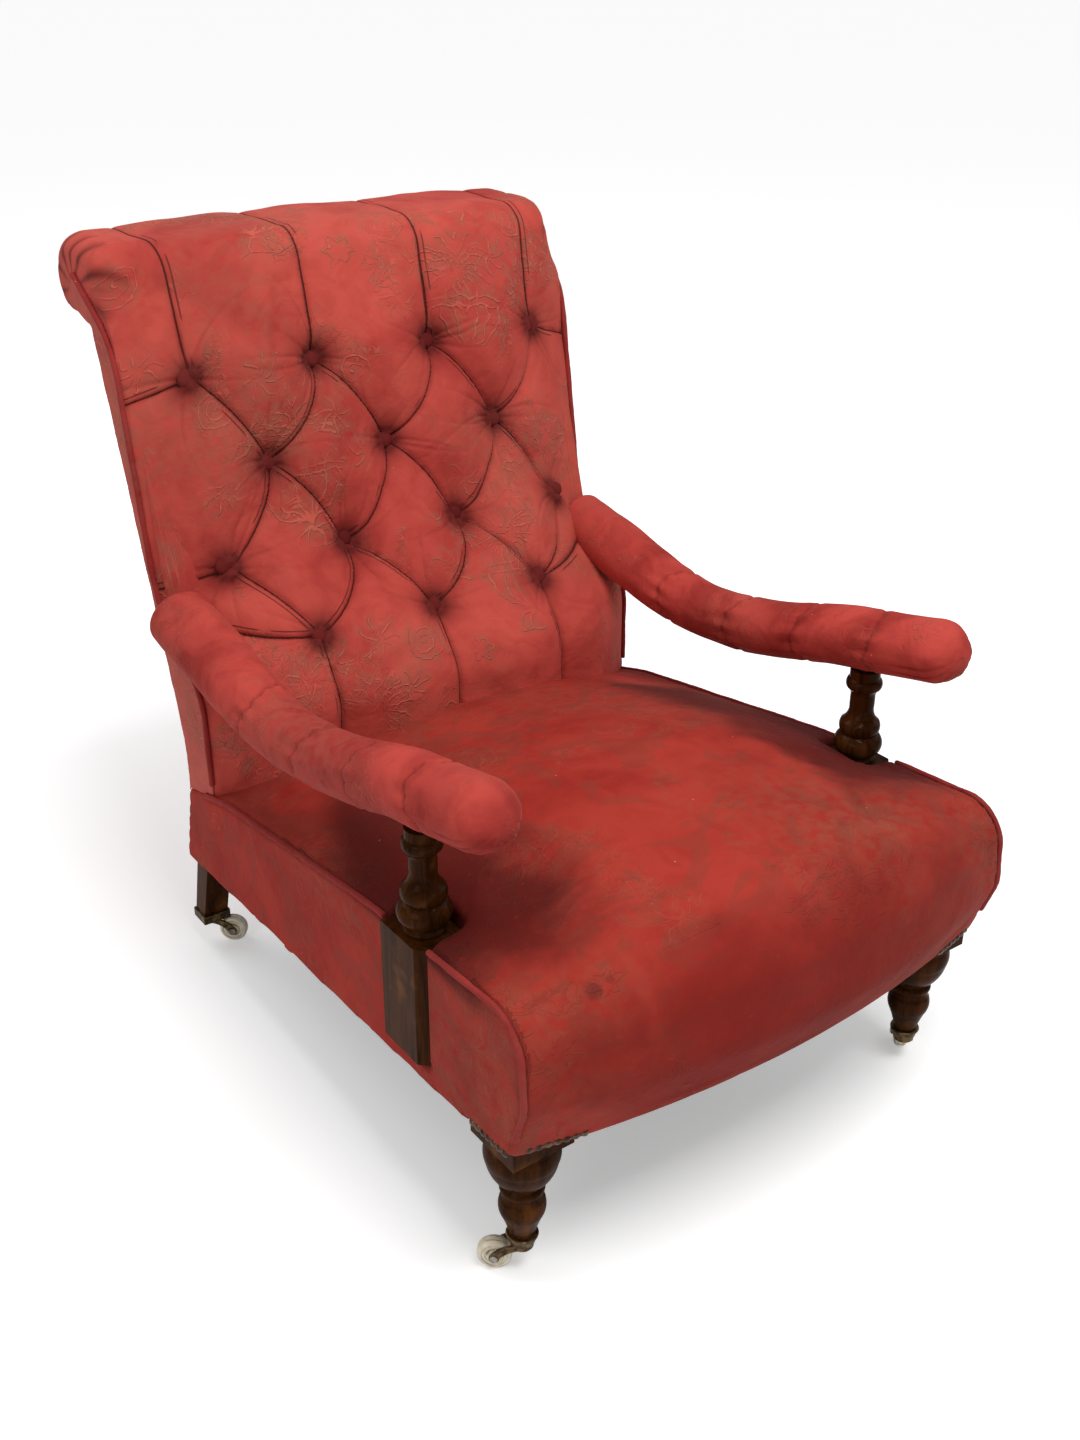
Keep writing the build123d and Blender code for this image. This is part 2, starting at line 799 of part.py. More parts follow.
with BuildPart() as crest_rail:
    with BuildSketch(Plane.YZ.offset(-rear_leg_x - post_width / 2)):
        with BuildLine():
            crest_corners = [
                (post_top_front_y, post_top_z),
                (post_top_front_y + crest_depth, post_top_z),
                (post_top_front_y + crest_depth, post_top_z + crest_height),
                (post_top_front_y, post_top_z + crest_height),
            ]
            rounded_path(crest_corners, (crest_round / 4, crest_round, crest_round, crest_round))
        make_face()
    extrude(amount=2 * rear_leg_x + post_width)
save(crest_rail, "back_crest_rail")

with BuildPart() as tacking_rail:
    tack_top_z = tacking_rail_z + tacking_rail_height
    tacking_corners = [
        (post_front(tacking_rail_z), tacking_rail_z),
        (post_front(tacking_rail_z) + tacking_rail_thickness, tacking_rail_z),
        (post_front(tack_top_z) + tacking_rail_thickness, tack_top_z),
        (post_front(tack_top_z), tack_top_z),
    ]
    across(tacking_corners, rear_leg_x - post_width / 2)
save(tacking_rail, "back_tacking_rail")

back_plane = Plane(
    origin=(0, post_front(tacking_rail_z), tacking_rail_z),
    x_dir=(1, 0, 0),
    z_dir=(0, -cos(radians(back_recline)), sin(radians(back_recline))),
)
back_web_length = (post_top_z - tacking_rail_z) / cos(radians(back_recline)) - rail_lap

with BuildPart() as back_webbing:
    with BuildSketch(back_plane):
        with Locations((0, back_web_first + back_web_pitch * (back_web_rows - 1) / 2)):
            with GridLocations(0, back_web_pitch, 1, back_web_rows):
                Rectangle(2 * rear_leg_x + post_width - rail_lap, webbing_width)
    extrude(amount=webbing_thickness)
    with BuildSketch(back_plane.offset(webbing_thickness)):
        with Locations((0, back_web_length / 2)):
            with GridLocations(back_web_column_pitch, 0, back_web_columns, 1):
                Rectangle(webbing_width, back_web_length - rail_lap)
    extrude(amount=webbing_thickness)
save(back_webbing, "back_webbing")

with BuildPart() as outside_back:
    panel_low_z = seat_low_z + fit_gap
    with BuildSketch(Plane.YZ.offset(fit_gap - bay_half_width)):
        with BuildLine():
            panel_rear = [(rear_line(z), z) for z in (panel_low_z, knee_z, panel_top_z)]
            panel_front = [(y - panel_thickness, z) for y, z in panel_rear[::-1]]
            edge_round = panel_thickness / 8
            panel_rounds = [edge_round, knee_round, edge_round]
            panel_rounds += [edge_round, knee_round + panel_thickness, edge_round]
            rounded_path(panel_rear + panel_front, panel_rounds)
        make_face()
    extrude(amount=2 * (bay_half_width - fit_gap))
save(outside_back, "outside_back_panel")


# Buttons and the tufting that they pull into the back


def button_plane(row, column):
    """The plane of a button, facing out of the back."""
    x = (column - (button_counts[row] - 1) / 2) * button_pitch
    y = back_front_y + back_reach * button_reach_shares[row]
    z = back_low_z + back_rise * button_rise_shares[row]
    tilt = radians(button_tilts[row])
    return Plane(origin=(x, y, z), x_dir=(1, 0, 0), z_dir=(0, -cos(tilt), sin(tilt)))


def every_button():
    """Row and column of each button."""
    return [(row, column) for row, count in enumerate(button_counts) for column in range(count)]


def domed_profile(radius, height, rim):
    """Half of a domed head with a short upright rim, to be turned about its axis."""
    cap = height - rim
    sphere = (radius**2 + cap**2) / (2 * cap)
    start = degrees(atan2(sphere - cap, radius))
    with BuildSketch(Plane.XZ) as half:
        with BuildLine():
            Line((0, 0), (radius, 0))
            if rim:
                Line((radius, 0), (radius, rim))
            CenterArc((0, height - sphere), sphere, start, 90 - start)
            Line((0, height), (0, 0))
        make_face()
    return half.sketch


def channel_profile(half_width, depth, lift):
    """Section of a pleat: a sharp crease between two rounded lips that flare outwards."""
    flare_x = 2 * half_width
    lip_z = lift + depth
    top_z = lip_z + depth
    with BuildSketch() as profile:
        with BuildLine():
            Line((-flare_x, top_z), (-half_width, lip_z))
            ThreePointArc((-half_width, lip_z), (-half_width / 3, lift + depth * 2 / 3), (0, lift))
            ThreePointArc((0, lift), (half_width / 3, lift + depth * 2 / 3), (half_width, lip_z))
            Line((half_width, lip_z), (flare_x, top_z))
            Line((flare_x, top_z), (-flare_x, top_z))
        make_face()
    return profile.sketch


with BuildPart() as button:
    revolve(domed_profile(button_radius, button_height, button_height / 3), axis=Axis.Z)

with BuildPart() as back_buttons:
    for row, column in every_button():
        add(button.part.moved(button_plane(row, column).location))
save(back_buttons, "back_buttons")


def pleat_between(start, end, out):
    """The room that a straight pleat takes out of the stuffing."""
    run = end - start
    plane = Plane(origin=start, x_dir=out.cross(run), z_dir=run)
    profile = channel_profile(pleat_half_width, pleat_depth, pleat_lift)
    with BuildPart() as pleat:
        extrude(profile.moved(plane.location), amount=run.length, dir=run)
    return pleat.part


with BuildPart() as pit:
    with BuildSketch(Plane.XZ) as pit_half:
        with BuildLine():
            floor_radius = button_radius + fit_gap
            flare_radius = pit_mouth_radius + button_radius * 3
            Line((0, -fit_gap), (floor_radius, -fit_gap))
            ThreePointArc(
                (floor_radius, -fit_gap),
                (floor_radius + (pit_mouth_radius - floor_radius) / 3, pit_depth * 2 / 3),
                (pit_mouth_radius, pit_depth),
            )
            Line((pit_mouth_radius, pit_depth), (flare_radius, pit_depth + pit_flare))
            Line((flare_radius, pit_depth + pit_flare), (0, pit_depth + pit_flare))
            Line((0, pit_depth + pit_flare), (0, -fit_gap))
        make_face()
    revolve(axis=Axis.Z)

pits = [pit.part.moved(button_plane(row, column).location) for row, column in every_button()]
pleats = []
scroll_pleats = []

for row, column in every_button():
    here = button_plane(row, column)
    if row + 1 < len(button_counts):
        shift = (button_counts[row + 1] - button_counts[row]) / 2
        for step in (-0.5, 0.5):
            below = column + shift + step
            if below == int(below) and 0 <= below < button_counts[row + 1]:
                there = button_plane(row + 1, int(below))
                pleats.append(pleat_between(here.origin, there.origin, here.z_dir + there.z_dir))
    widest = button_counts[row] == max(button_counts)
    if widest and column in (0, button_counts[row] - 1):
        edge = Vector(back_half_width if column else -back_half_width, here.origin.Y, here.origin.Z)
        pleats.append(pleat_between(here.origin, edge + here.z_dir * pleat_lift, here.z_dir))
    if row == len(button_counts) - 1:
        low_y, low_z = back_outline(0.0)[2]
        foot = Vector(here.origin.X, low_y + pleat_depth, low_z - pleat_half_width * 3)
        pleats.append(pleat_between(here.origin, foot, here.z_dir))

for column in range(button_counts[0]):
    top = button_plane(0, column)
    side = abs(top.origin.X) / back_half_width
    crown_y, crown_z = back_outline(side)[5]
    rear_y, rear_z = back_outline(side)[7]
    inset = scroll_pleat_depth
    corners = [
        (top.origin.Y, top.origin.Z),
        (crown_y + inset, crown_z - inset),
        (scroll_rear_y - inset, crown_z - inset),
        (scroll_rear_y - inset, rear_z + inset),
    ]
    with BuildPart() as scroll_pleat:
        with BuildLine(Plane.YZ.offset(top.origin.X)) as route:
            rounded_path(corners, [r - inset for r in back_rounds[5:7]], closed=False)
        start = Plane(route.line @ 0, x_dir=(1, 0, 0), z_dir=route.line % 0)
        turned_out = start.y_dir.Y > 0
        profile = channel_profile(scroll_pleat_depth, scroll_pleat_depth, 0)
        if turned_out:
            start = Plane(route.line @ 0, x_dir=(-1, 0, 0), z_dir=route.line % 0)
        sweep(profile.moved(start.location), path=route.line)
    scroll_pleats.append(scroll_pleat.part)


# The route of the piping down the front edge of each side of the back


def facing_corners():
    """Outline of a side facing: the back's side, and a tongue that turns into the scroll."""
    side = back_outline(1.0)
    tongue = [
        (back_front_y + back_reach * reach_share, back_low_z + back_rise * rise_share)
        for reach_share, rise_share in facing_tongue_shares
    ]
    return side[:5] + tongue + side[8:]


def facing_piping(radius):
    """The piping down the front edge of the right facing."""
    corners = facing_corners()
    start = blend(corners[1], corners[2], piping_start_share)
    edge = [start] + corners[2:6]
    plane = Plane.YZ.offset(back_half_width + facing_thickness)
    return cord_along(plane, edge, facing_rounds[2:5], radius)


grown_facing_piping = facing_piping(piping_radius + fit_gap)


# The stuffed back, hollow behind its webbing for the uprights and rails

raised_seat = seat_body(raised=fit_gap).part

with BuildPart() as back_cushion:
    add(back_body().part)
    for folds in (pits, pleats, scroll_pleats):
        add(folds, mode=Mode.SUBTRACT)
    add(raised_seat, mode=Mode.SUBTRACT)
    add(grown_facing_piping, mode=Mode.SUBTRACT)
    mirror(grown_facing_piping, about=Plane.YZ, mode=Mode.SUBTRACT)
    across(bay_corners(leg_foot_z + cut_overrun), bay_half_width, mode=Mode.SUBTRACT)
    with BuildSketch(Plane.YZ.offset(-bay_half_width)):
        with BuildLine():
            grow = fit_gap
            low_y, low_z = crest_corners[0]
            high_y, high_z = crest_corners[2]
            Polyline(
                (low_y - grow, low_z - grow),
                (high_y + grow, low_z - grow),
                (high_y + grow, high_z + grow),
                (low_y - grow, high_z + grow),
                close=True,
            )
        make_face()
    extrude(amount=2 * bay_half_width, mode=Mode.SUBTRACT)
    for arm_side in (-1, 1):
        channel_x = arm_x - arm_rail_width / 2 - fit_gap
        channel_half = (back_half_width + cut_overrun - channel_x) / 2
        across(arm_rail_corners(fit_gap), channel_half, arm_side * (channel_x + channel_half), Mode.SUBTRACT)
save(back_cushion, "back_cushion")


# Facings on the sides of the back


with BuildPart() as right_facing:
    with BuildSketch(Plane.YZ.offset(back_half_width + fit_gap)):
        with BuildLine():
            rounded_path(facing_corners(), facing_rounds)
        make_face()
    extrude(amount=facing_thickness)
    add(grown_facing_piping, mode=Mode.SUBTRACT)
    add(raised_seat, mode=Mode.SUBTRACT)
    add(grown_piping.part, mode=Mode.SUBTRACT)
save(right_facing, "right_back_facing")
save(mirrored(right_facing), "left_back_facing")

with BuildPart() as right_facing_piping:
    add(facing_piping(piping_radius))
save(right_facing_piping, "right_back_piping")
save(mirrored(right_facing_piping), "left_back_piping")


# The padded arms, lapped over the sides of the back

with BuildPart() as right_arm_pad:
    stations = arm_stations()
    for place, (y, z, radius) in enumerate(stations):
        before = stations[max(place - 1, 0)]
        after = stations[min(place + 1, len(stations) - 1)]
        along = (0, after[0] - before[0], after[1] - before[1])
        with BuildSketch(Plane(origin=(arm_x, y, z), x_dir=(1, 0, 0), z_dir=along)):
            with BuildLine():
                for quarter in range(4):
                    CenterArc((0, 0), radius, 90 * quarter, 90)
            make_face()
    loft()
    across(arm_rail_corners(fit_gap), arm_rail_width / 2 + fit_gap, arm_x, Mode.SUBTRACT)
    with BuildSketch(Plane.XY.offset(support_top_z + baluster_rise / 2)):
        with Locations((baluster_x, support_y)):
            Circle(baluster_shares[-1][1] * baluster_radius + fit_gap)
    extrude(amount=baluster_rise / 2 + fit_gap, mode=Mode.SUBTRACT)
    with BuildSketch(Plane.XY.offset(support_top_z + baluster_rise / 2)):
        with Locations((baluster_x, support_y)):
            Circle(baluster_tenon_radius + fit_gap)
    extrude(amount=arm_axis_z - support_top_z - baluster_rise / 2, mode=Mode.SUBTRACT)
    behind = back_body(widened=facing_thickness + 2 * fit_gap).part
    add(behind.moved(Location((0, -2 * fit_gap, 0))), mode=Mode.SUBTRACT)
    add(grown_facing_piping, mode=Mode.SUBTRACT)
save(right_arm_pad, "right_arm_pad")
save(mirrored(right_arm_pad), "left_arm_pad")


# Close nails along the lower edge of the cover at the front corners


def seat_front_line(x):
    """Foot and head of the straight rise of the seat's front at a place across the chair."""
    foot, head = seat_outline(x / seat_side_x(front_leg_y))[1:3]
    return Vector(x, *foot), Vector(x, *head)


with BuildPart() as nail:
    revolve(domed_profile(nail_radius, nail_height, 0), axis=Axis.Z)

with BuildPart() as right_nails:
    nail_count = int(block_size // nail_pitch)
    for place in range(nail_count):
        x = block_inner_x + nail_radius + place * nail_pitch
        foot, crown = seat_front_line(x)
        next_foot, next_crown = seat_front_line(x + nail_radius)
        up = (crown - foot).normalized()
        out = (next_foot - foot).cross(up).normalized()
        seat_point = foot + up * (nail_rise + nail_radius) + out * nail_standoff
        add(nail.part.moved(Plane(seat_point, x_dir=next_foot - foot, z_dir=out).location))
    for place in range(nail_count):
        y = front_leg_y - block_size / 2 + nail_radius + place * nail_pitch
        low, rear_low = seat_outline(1.0)[1], seat_outline(1.0)[0]
        share = (y - low[0]) / (rear_low[0] - low[0])
        z = blend(low, rear_low, share)[1] + nail_rise
        plane = Plane(origin=(seat_side_x(y) + fit_gap, y, z), x_dir=(0, 1, 0), z_dir=(1, 0, 0))
        add(nail.part.moved(plane.location))
save(right_nails, "right_corner_nails")
save(mirrored(right_nails), "left_corner_nails")


# Castors


def castor_cup(x, y, post):
    """The brass cup that the foot of a leg stands in, with the bore of the swivel pin."""
    with BuildPart() as cup:
        if post is None:
            with BuildSketch(Plane.XZ.offset(-y)):
                with BuildLine():
                    bead_z = cup_low_z + cup_height - 2 * cup_bead
                    bead_top_z = bead_z + 2 * cup_bead
                    Polyline((x, cup_low_z), (x + cup_low_radius, cup_low_z), (x + cup_radius, bead_z))
                    ThreePointArc(
                        (x + cup_radius, bead_z),
                        (x + cup_radius + cup_bead, bead_z + cup_bead),
                        (x + cup_radius, bead_top_z),
                    )
                    Polyline((x + cup_radius, bead_top_z), (x, bead_top_z), (x, cup_low_z))
                make_face()
            revolve(axis=Axis((x, y, 0), (0, 0, 1)))
            with BuildSketch(Plane((x, y, leg_foot_z))):
                Circle(leg_radius * leg_shares[0][1] + running_fit)
            extrude(amount=cup_height, mode=Mode.SUBTRACT)
        else:
            lean = cup_height * tan(radians(leg_rake))
            with BuildSketch(Plane((x, y - lean / 2, cup_low_z))):
                Rectangle(post_width + 2 * cup_wall, post_foot_depth + lean + 2 * cup_wall)
            extrude(amount=cup_height)
            fillet(edges().filter_by(Axis.Z), cup_bead)
            add(post, mode=Mode.SUBTRACT)
        with BuildSketch(Plane((x, y, cup_low_z))):
            Circle(swivel_pin_radius + running_fit)
        extrude(amount=cup_floor, mode=Mode.SUBTRACT)
    return cup


cheek_inner = wheel_width / 2 + wheel_side_gap
boss_top_z = cup_low_z - fit_gap

with BuildPart() as horn:
    with BuildSketch(Plane.XY.offset(boss_top_z - horn_boss_height)):
        Circle(horn_boss_radius)
    extrude(amount=horn_boss_height)
    with BuildSketch(Plane.XY.offset(boss_top_z)):
        Circle(swivel_pin_radius)
    extrude(amount=cup_floor - fit_gap)
    for cheek_side in (-1, 1):
        inner = cheek_inner if cheek_side > 0 else -cheek_inner - horn_thickness
        with BuildSketch(Plane.XZ.offset(-inner - horn_thickness)):
            with BuildLine():
                boss_low_z = boss_top_z - horn_boss_height
                shoulder_x = horn_boss_radius / 2
                eye_front = (castor_trail + horn_eye_radius, wheel_radius)
                eye_rear = (castor_trail - horn_eye_radius, wheel_radius)
                crown = (castor_trail * horn_crown_share, (boss_top_z + wheel_radius) / 2 + horn_eye_radius / 2)
                hollow = (castor_trail / 2, (boss_low_z + wheel_radius) / 2 + horn_eye_radius / 4)
                Line((-shoulder_x, boss_low_z), (-shoulder_x, boss_top_z))
                Line((-shoulder_x, boss_top_z), (shoulder_x, boss_top_z))
                ThreePointArc((shoulder_x, boss_top_z), crown, eye_front)
                ThreePointArc(eye_front, (castor_trail, wheel_radius - horn_eye_radius), eye_rear)
                ThreePointArc(eye_rear, hollow, (0, boss_low_z))
                Line((0, boss_low_z), (-shoulder_x, boss_low_z))
            make_face()
        extrude(amount=horn_thickness)
    with BuildSketch(Plane.XZ.offset(-cheek_inner - horn_thickness)):
        with Locations((castor_trail, wheel_radius)):
            Circle(axle_radius + running_fit / 2)
    extrude(amount=2 * (cheek_inner + horn_thickness), mode=Mode.SUBTRACT)

with BuildPart() as axle:
    half_axle = cheek_inner + horn_thickness + fit_gap / 2
    with BuildSketch(Plane.XZ):
        with Locations((castor_trail, wheel_radius)):
            Circle(axle_radius)
    extrude(amount=half_axle, both=True)
    for end in (-1, 1):
        with BuildSketch(Plane.XZ.offset(end * half_axle)):
            with Locations((castor_trail, wheel_radius)):
                Circle(axle_head_radius)
        extrude(amount=end * axle_head)

with BuildPart() as wheel:
    with BuildSketch(Plane.XY):
        with BuildLine():
            half_width = wheel_width / 2
            web = half_width - hub_step
            rim_radius = (hub_radius + wheel_radius) / 2
            bore = axle_radius + running_fit
            edge = wheel_edge_round
            upper = [
                (bore, half_width),
                (hub_radius, half_width),
                (hub_radius + hub_step, web),
                (rim_radius, web),
                (wheel_radius - edge, half_width),
            ]
            lower = [(radius, -height) for radius, height in upper[::-1]]
            Polyline(*upper)
            RadiusArc(upper[-1], (wheel_radius, half_width - edge), edge)
            Line((wheel_radius, half_width - edge), (wheel_radius, edge - half_width))
            RadiusArc((wheel_radius, edge - half_width), lower[0], edge)
            Polyline(*lower)
            Line(lower[-1], upper[0])
        make_face()
    revolve(axis=Axis.Y)
wheel_place = Location((castor_trail, 0, wheel_radius))

rear_leg_y = rear_line(leg_foot_z) - post_rear_setback - post_foot_depth / 2
grown_post = post_body(running_fit).part
for name, heading in castor_headings.items():
    side = 1 if name.endswith("right") else -1
    at_rear = name.startswith("rear")
    x = side * (rear_leg_x if at_rear else front_leg_x)
    y = rear_leg_y if at_rear else front_leg_y
    post = None
    if at_rear:
        post = grown_post if side > 0 else mirror(grown_post, about=Plane.YZ)
    save(castor_cup(x, y, post), f"{name}_castor_cup")
    turned_out = Location((x, y, 0)) * Rotation(0, 0, heading)
    for piece, piece_name in ((horn, "horn"), (axle, "axle"), (wheel, "wheel")):
        place = turned_out * wheel_place if piece is wheel else turned_out
        with BuildPart() as placed:
            add(piece.part.moved(place))
        save(placed, f"{name}_castor_{piece_name}")
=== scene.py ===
import json
import math

import bmesh
import bpy
import numpy as np
from mathutils import Euler, Matrix, Quaternion, Vector, geometry, noise
from mathutils.bvhtree import BVHTree


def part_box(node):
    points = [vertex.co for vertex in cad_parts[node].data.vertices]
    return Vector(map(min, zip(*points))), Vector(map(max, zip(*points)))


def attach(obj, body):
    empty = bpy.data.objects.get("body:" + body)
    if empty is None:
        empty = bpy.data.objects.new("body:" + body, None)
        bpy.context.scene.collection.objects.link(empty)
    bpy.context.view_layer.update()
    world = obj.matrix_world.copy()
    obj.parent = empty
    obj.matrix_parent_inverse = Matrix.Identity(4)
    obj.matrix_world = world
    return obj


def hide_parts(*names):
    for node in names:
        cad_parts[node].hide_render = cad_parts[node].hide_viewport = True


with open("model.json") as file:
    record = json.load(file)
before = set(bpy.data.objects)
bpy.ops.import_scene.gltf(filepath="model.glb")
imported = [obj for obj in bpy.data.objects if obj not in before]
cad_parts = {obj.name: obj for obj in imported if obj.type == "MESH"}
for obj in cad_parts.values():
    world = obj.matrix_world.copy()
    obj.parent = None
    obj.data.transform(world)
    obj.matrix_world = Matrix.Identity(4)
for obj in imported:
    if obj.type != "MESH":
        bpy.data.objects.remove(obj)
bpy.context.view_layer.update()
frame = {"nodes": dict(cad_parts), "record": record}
cad_nodes = frame["nodes"]
scene = bpy.context.scene
scene.view_settings.view_transform = "Standard"


# Camera
# The photograph looks down on the chair's front and its left arm from a little above
# head height, with a moderate lens.

camera_place = (-0.912, -1.291, 1.179)
camera_yaw = math.radians(36.11)
camera_pitch = math.radians(27.35)
camera_roll = math.radians(0.40)
lens = bpy.data.cameras.new("camera")
lens.sensor_width = 36
lens.lens = 38.5
camera = bpy.data.objects.new("camera", lens)
level = Euler((math.pi / 2 - camera_pitch, 0, -camera_yaw)).to_matrix()
turned = level @ Matrix.Rotation(camera_roll, 3, "Z")
camera.matrix_world = Matrix.Translation(camera_place) @ turned.to_4x4()
scene.collection.objects.link(camera)
scene.camera = camera


# Room
# A plain near-white studio floor that runs to the horizon, with a broad soft lamp over
# the front of the chair and weaker ones to its left, its right and behind it.

floor_size = 60
floor_colour = (0.86, 0.86, 0.86, 1)
floor_lift_near = 0.33
floor_lift_far = 0.68
floor_near = 0.55
floor_far = 1.6
room_light = 0.32
lamp_target = (0, 0, 0.4)
lamps = {
    "over_front": ((0.0, -1.4, 3.3), 1.5, 82),
    "from_left": ((-2.6, -1.0, 1.5), 1.4, 12),
    "from_right": ((2.6, -0.6, 1.6), 1.6, 8),
    "from_behind": ((-1.4, 2.2, 2.8), 1.8, 28),
}


def new_finish(name, settings):
    """A new material with its shader set, its tree, its shader, and the places on its piece."""
    material = bpy.data.materials.new(name)
    material.use_nodes = True
    tree = material.node_tree
    shader = tree.nodes["Principled BSDF"]
    for title, value in settings.items():
        shader.inputs[title].default_value = value
    return material, tree, shader, tree.nodes.new("ShaderNodeTexCoord").outputs["Object"]


class Field:
    """A number that varies over a surface, worked out by math nodes."""

    def __init__(self, tree, socket):
        self.tree = tree
        self.socket = socket

    def through(self, operation, *others):
        step = self.tree.nodes.new("ShaderNodeMath")
        step.operation = operation
        for terminal, value in zip(step.inputs, (self, *others)):
            if isinstance(value, Field):
                self.tree.links.new(value.socket, terminal)
            else:
                terminal.default_value = value
        return Field(self.tree, step.outputs[0])

    def __add__(self, other):
        return self.through("ADD", other)

    def __sub__(self, other):
        return self.through("SUBTRACT", other)

    def __mul__(self, other):
        return self.through("MULTIPLY", other)

    def __truediv__(self, other):
        return self.through("DIVIDE", other)

    def size(self):
        return self.through("ABSOLUTE")

    def least(self, other):
        return self.through("MINIMUM", other)

    def most(self, other):
        return self.through("MAXIMUM", other)

    def eased(self, low, high):
        """0 below low, 1 above high and an even curve between, or the reverse."""
        step = self.tree.nodes.new("ShaderNodeMapRange")
        step.interpolation_type = "SMOOTHSTEP"
        step.inputs["From Min"].default_value = low
        step.inputs["From Max"].default_value = high
        self.tree.links.new(self.socket, step.inputs["Value"])
        return Field(self.tree, step.outputs["Result"])


def measured(tree, operation, place, value=None):
    """One vector step on a place: a shift, a product, a length or a distance."""
    step = tree.nodes.new("ShaderNodeVectorMath")
    step.operation = operation
    tree.links.new(place, step.inputs[0])
    if value is not None:
        step.inputs[1].default_value = value
    return step


half_floor = floor_size / 2
floor_corners = [(x * half_floor, y * half_floor, 0) for x, y in ((-1, -1), (1, -1), (1, 1), (-1, 1))]
floor_mesh = bpy.data.meshes.new("floor")
floor_mesh.from_pydata(floor_corners, [], [(0, 1, 2, 3)])
floor = bpy.data.objects.new("floor", floor_mesh)
scene.collection.objects.link(floor)

floor_paint, floor_tree, floor_shader, floor_place = new_finish("floor_paint", {
    "Base Color": floor_colour, "Roughness": 0.9, "Specular IOR Level": 0.1, "Emission Color": (1, 1, 1, 1),
})
floor_distance = Field(floor_tree, measured(floor_tree, "LENGTH", floor_place).outputs["Value"])
floor_fade = floor_distance.eased(floor_near, floor_far) * (floor_lift_far - floor_lift_near)
seen = Field(floor_tree, floor_tree.nodes.new("ShaderNodeLightPath").outputs["Is Camera Ray"])
floor_lift = (floor_fade + floor_lift_near) * seen
floor_tree.links.new(floor_lift.socket, floor_shader.inputs["Emission Strength"])
floor_mesh.materials.append(floor_paint)

world = bpy.data.worlds.new("room")
world.use_nodes = True
scene.world = world
sky_tree = world.node_tree
sky = sky_tree.nodes["Background"]
sky.inputs["Color"].default_value = (1, 1, 1, 1)
sky_seen = Field(sky_tree, sky_tree.nodes.new("ShaderNodeLightPath").outputs["Is Camera Ray"])
sky_level = sky_seen * (1 - room_light) + room_light
sky_tree.links.new(sky_level.socket, sky.inputs["Strength"])

for lamp_name, (lamp_place, lamp_size, lamp_power) in lamps.items():
    lamp_data = bpy.data.lights.new(lamp_name, "AREA")
    lamp_data.size = lamp_size
    lamp_data.energy = lamp_power
    lamp = bpy.data.objects.new(lamp_name, lamp_data)
    aim = (Vector(lamp_target) - Vector(lamp_place)).to_track_quat("-Z", "Y")
    lamp.matrix_world = Matrix.Translation(lamp_place) @ aim.to_matrix().to_4x4()
    scene.collection.objects.link(lamp)


# Seat frame and inner rails
# The hidden frame is of beech: four seat rails with glue blocks in their corners, the crest and
# tacking rails of the back, and a rail inside each arm. They are doweled and glued.

grain_stretch = 0.07
grain_height = 0.00003
beech_tones = ((0.46, 0.27, 0.13), (0.33, 0.18, 0.085), (0.15, 0.075, 0.035), (0.52, 0.34, 0.19))
parts_across = (
    "front_seat_rail", "rear_seat_rail", "back_crest_rail", "back_tacking_rail", "seat_glue_blocks",
)
parts_along = ("left_side_rail", "right_side_rail", "left_arm_rail", "right_arm_rail")


def cloud(tree, place, scale, detail=3, distortion=0.0):
    """A soft noise pattern over a surface."""
    pattern = tree.nodes.new("ShaderNodeTexNoise")
    pattern.inputs["Scale"].default_value = scale
    pattern.inputs["Detail"].default_value = detail
    pattern.inputs["Distortion"].default_value = distortion
    tree.links.new(place, pattern.inputs["Vector"])
    return Field(tree, pattern.outputs["Fac"])


def mixed(tree, share, first, second):
    """A colour between two colours, each a value or another node's output."""
    mix = tree.nodes.new("ShaderNodeMix")
    mix.data_type = "RGBA"
    tree.links.new(share.socket, mix.inputs["Factor"])
    for terminal, colour in (("A", first), ("B", second)):
        socket = [s for s in mix.inputs if s.name == terminal and s.type == "RGBA"][0]
        if isinstance(colour, bpy.types.NodeSocket):
            tree.links.new(colour, socket)
        else:
            socket.default_value = (*colour, 1)
    return [s for s in mix.outputs if s.type == "RGBA"][0]


def raised(tree, height, distance, normal=None):
    """A bump of a given height in metres."""
    bump = tree.nodes.new("ShaderNodeBump")
    bump.inputs["Distance"].default_value = distance
    tree.links.new(height.socket, bump.inputs["Height"])
    if normal is not None:
        tree.links.new(normal, bump.inputs["Normal"])
    return bump.outputs["Normal"]


def wood(name, along, light, dark, pore, rubbed, roughness, coat):
    """Wood with its grain along one axis, from 0 to 2."""
    material, tree, shader, place = new_finish(name, {
        "Roughness": roughness, "Specular IOR Level": 0.025, "Coat Weight": coat, "Coat Roughness": 0.07,
    })
    stretch = tree.nodes.new("ShaderNodeMapping")
    scale = [1.0, 1.0, 1.0]
    scale[along] = grain_stretch
    stretch.inputs["Scale"].default_value = scale
    tree.links.new(place, stretch.inputs["Vector"])
    grain = cloud(tree, stretch.outputs["Vector"], 240, 6, 0.5)
    figure = cloud(tree, stretch.outputs["Vector"], 42, 4, 1.5)
    wear = cloud(tree, place, 26, 4, 0.3)
    colour = mixed(tree, figure.eased(0.35, 0.68), light, dark)
    colour = mixed(tree, grain.eased(0.50, 0.72) * 0.55, colour, pore)
    colour = mixed(tree, wear.eased(0.54, 0.74) * 0.5, colour, rubbed)
    tree.links.new(colour, shader.inputs["Base Color"])
    tree.links.new(raised(tree, grain, grain_height), shader.inputs["Normal"])
    return material


def finish_node(node, material):
    """Gives a CAD node its finish."""
    mesh = cad_nodes[node].data
    mesh.materials.clear()
    mesh.materials.append(material)


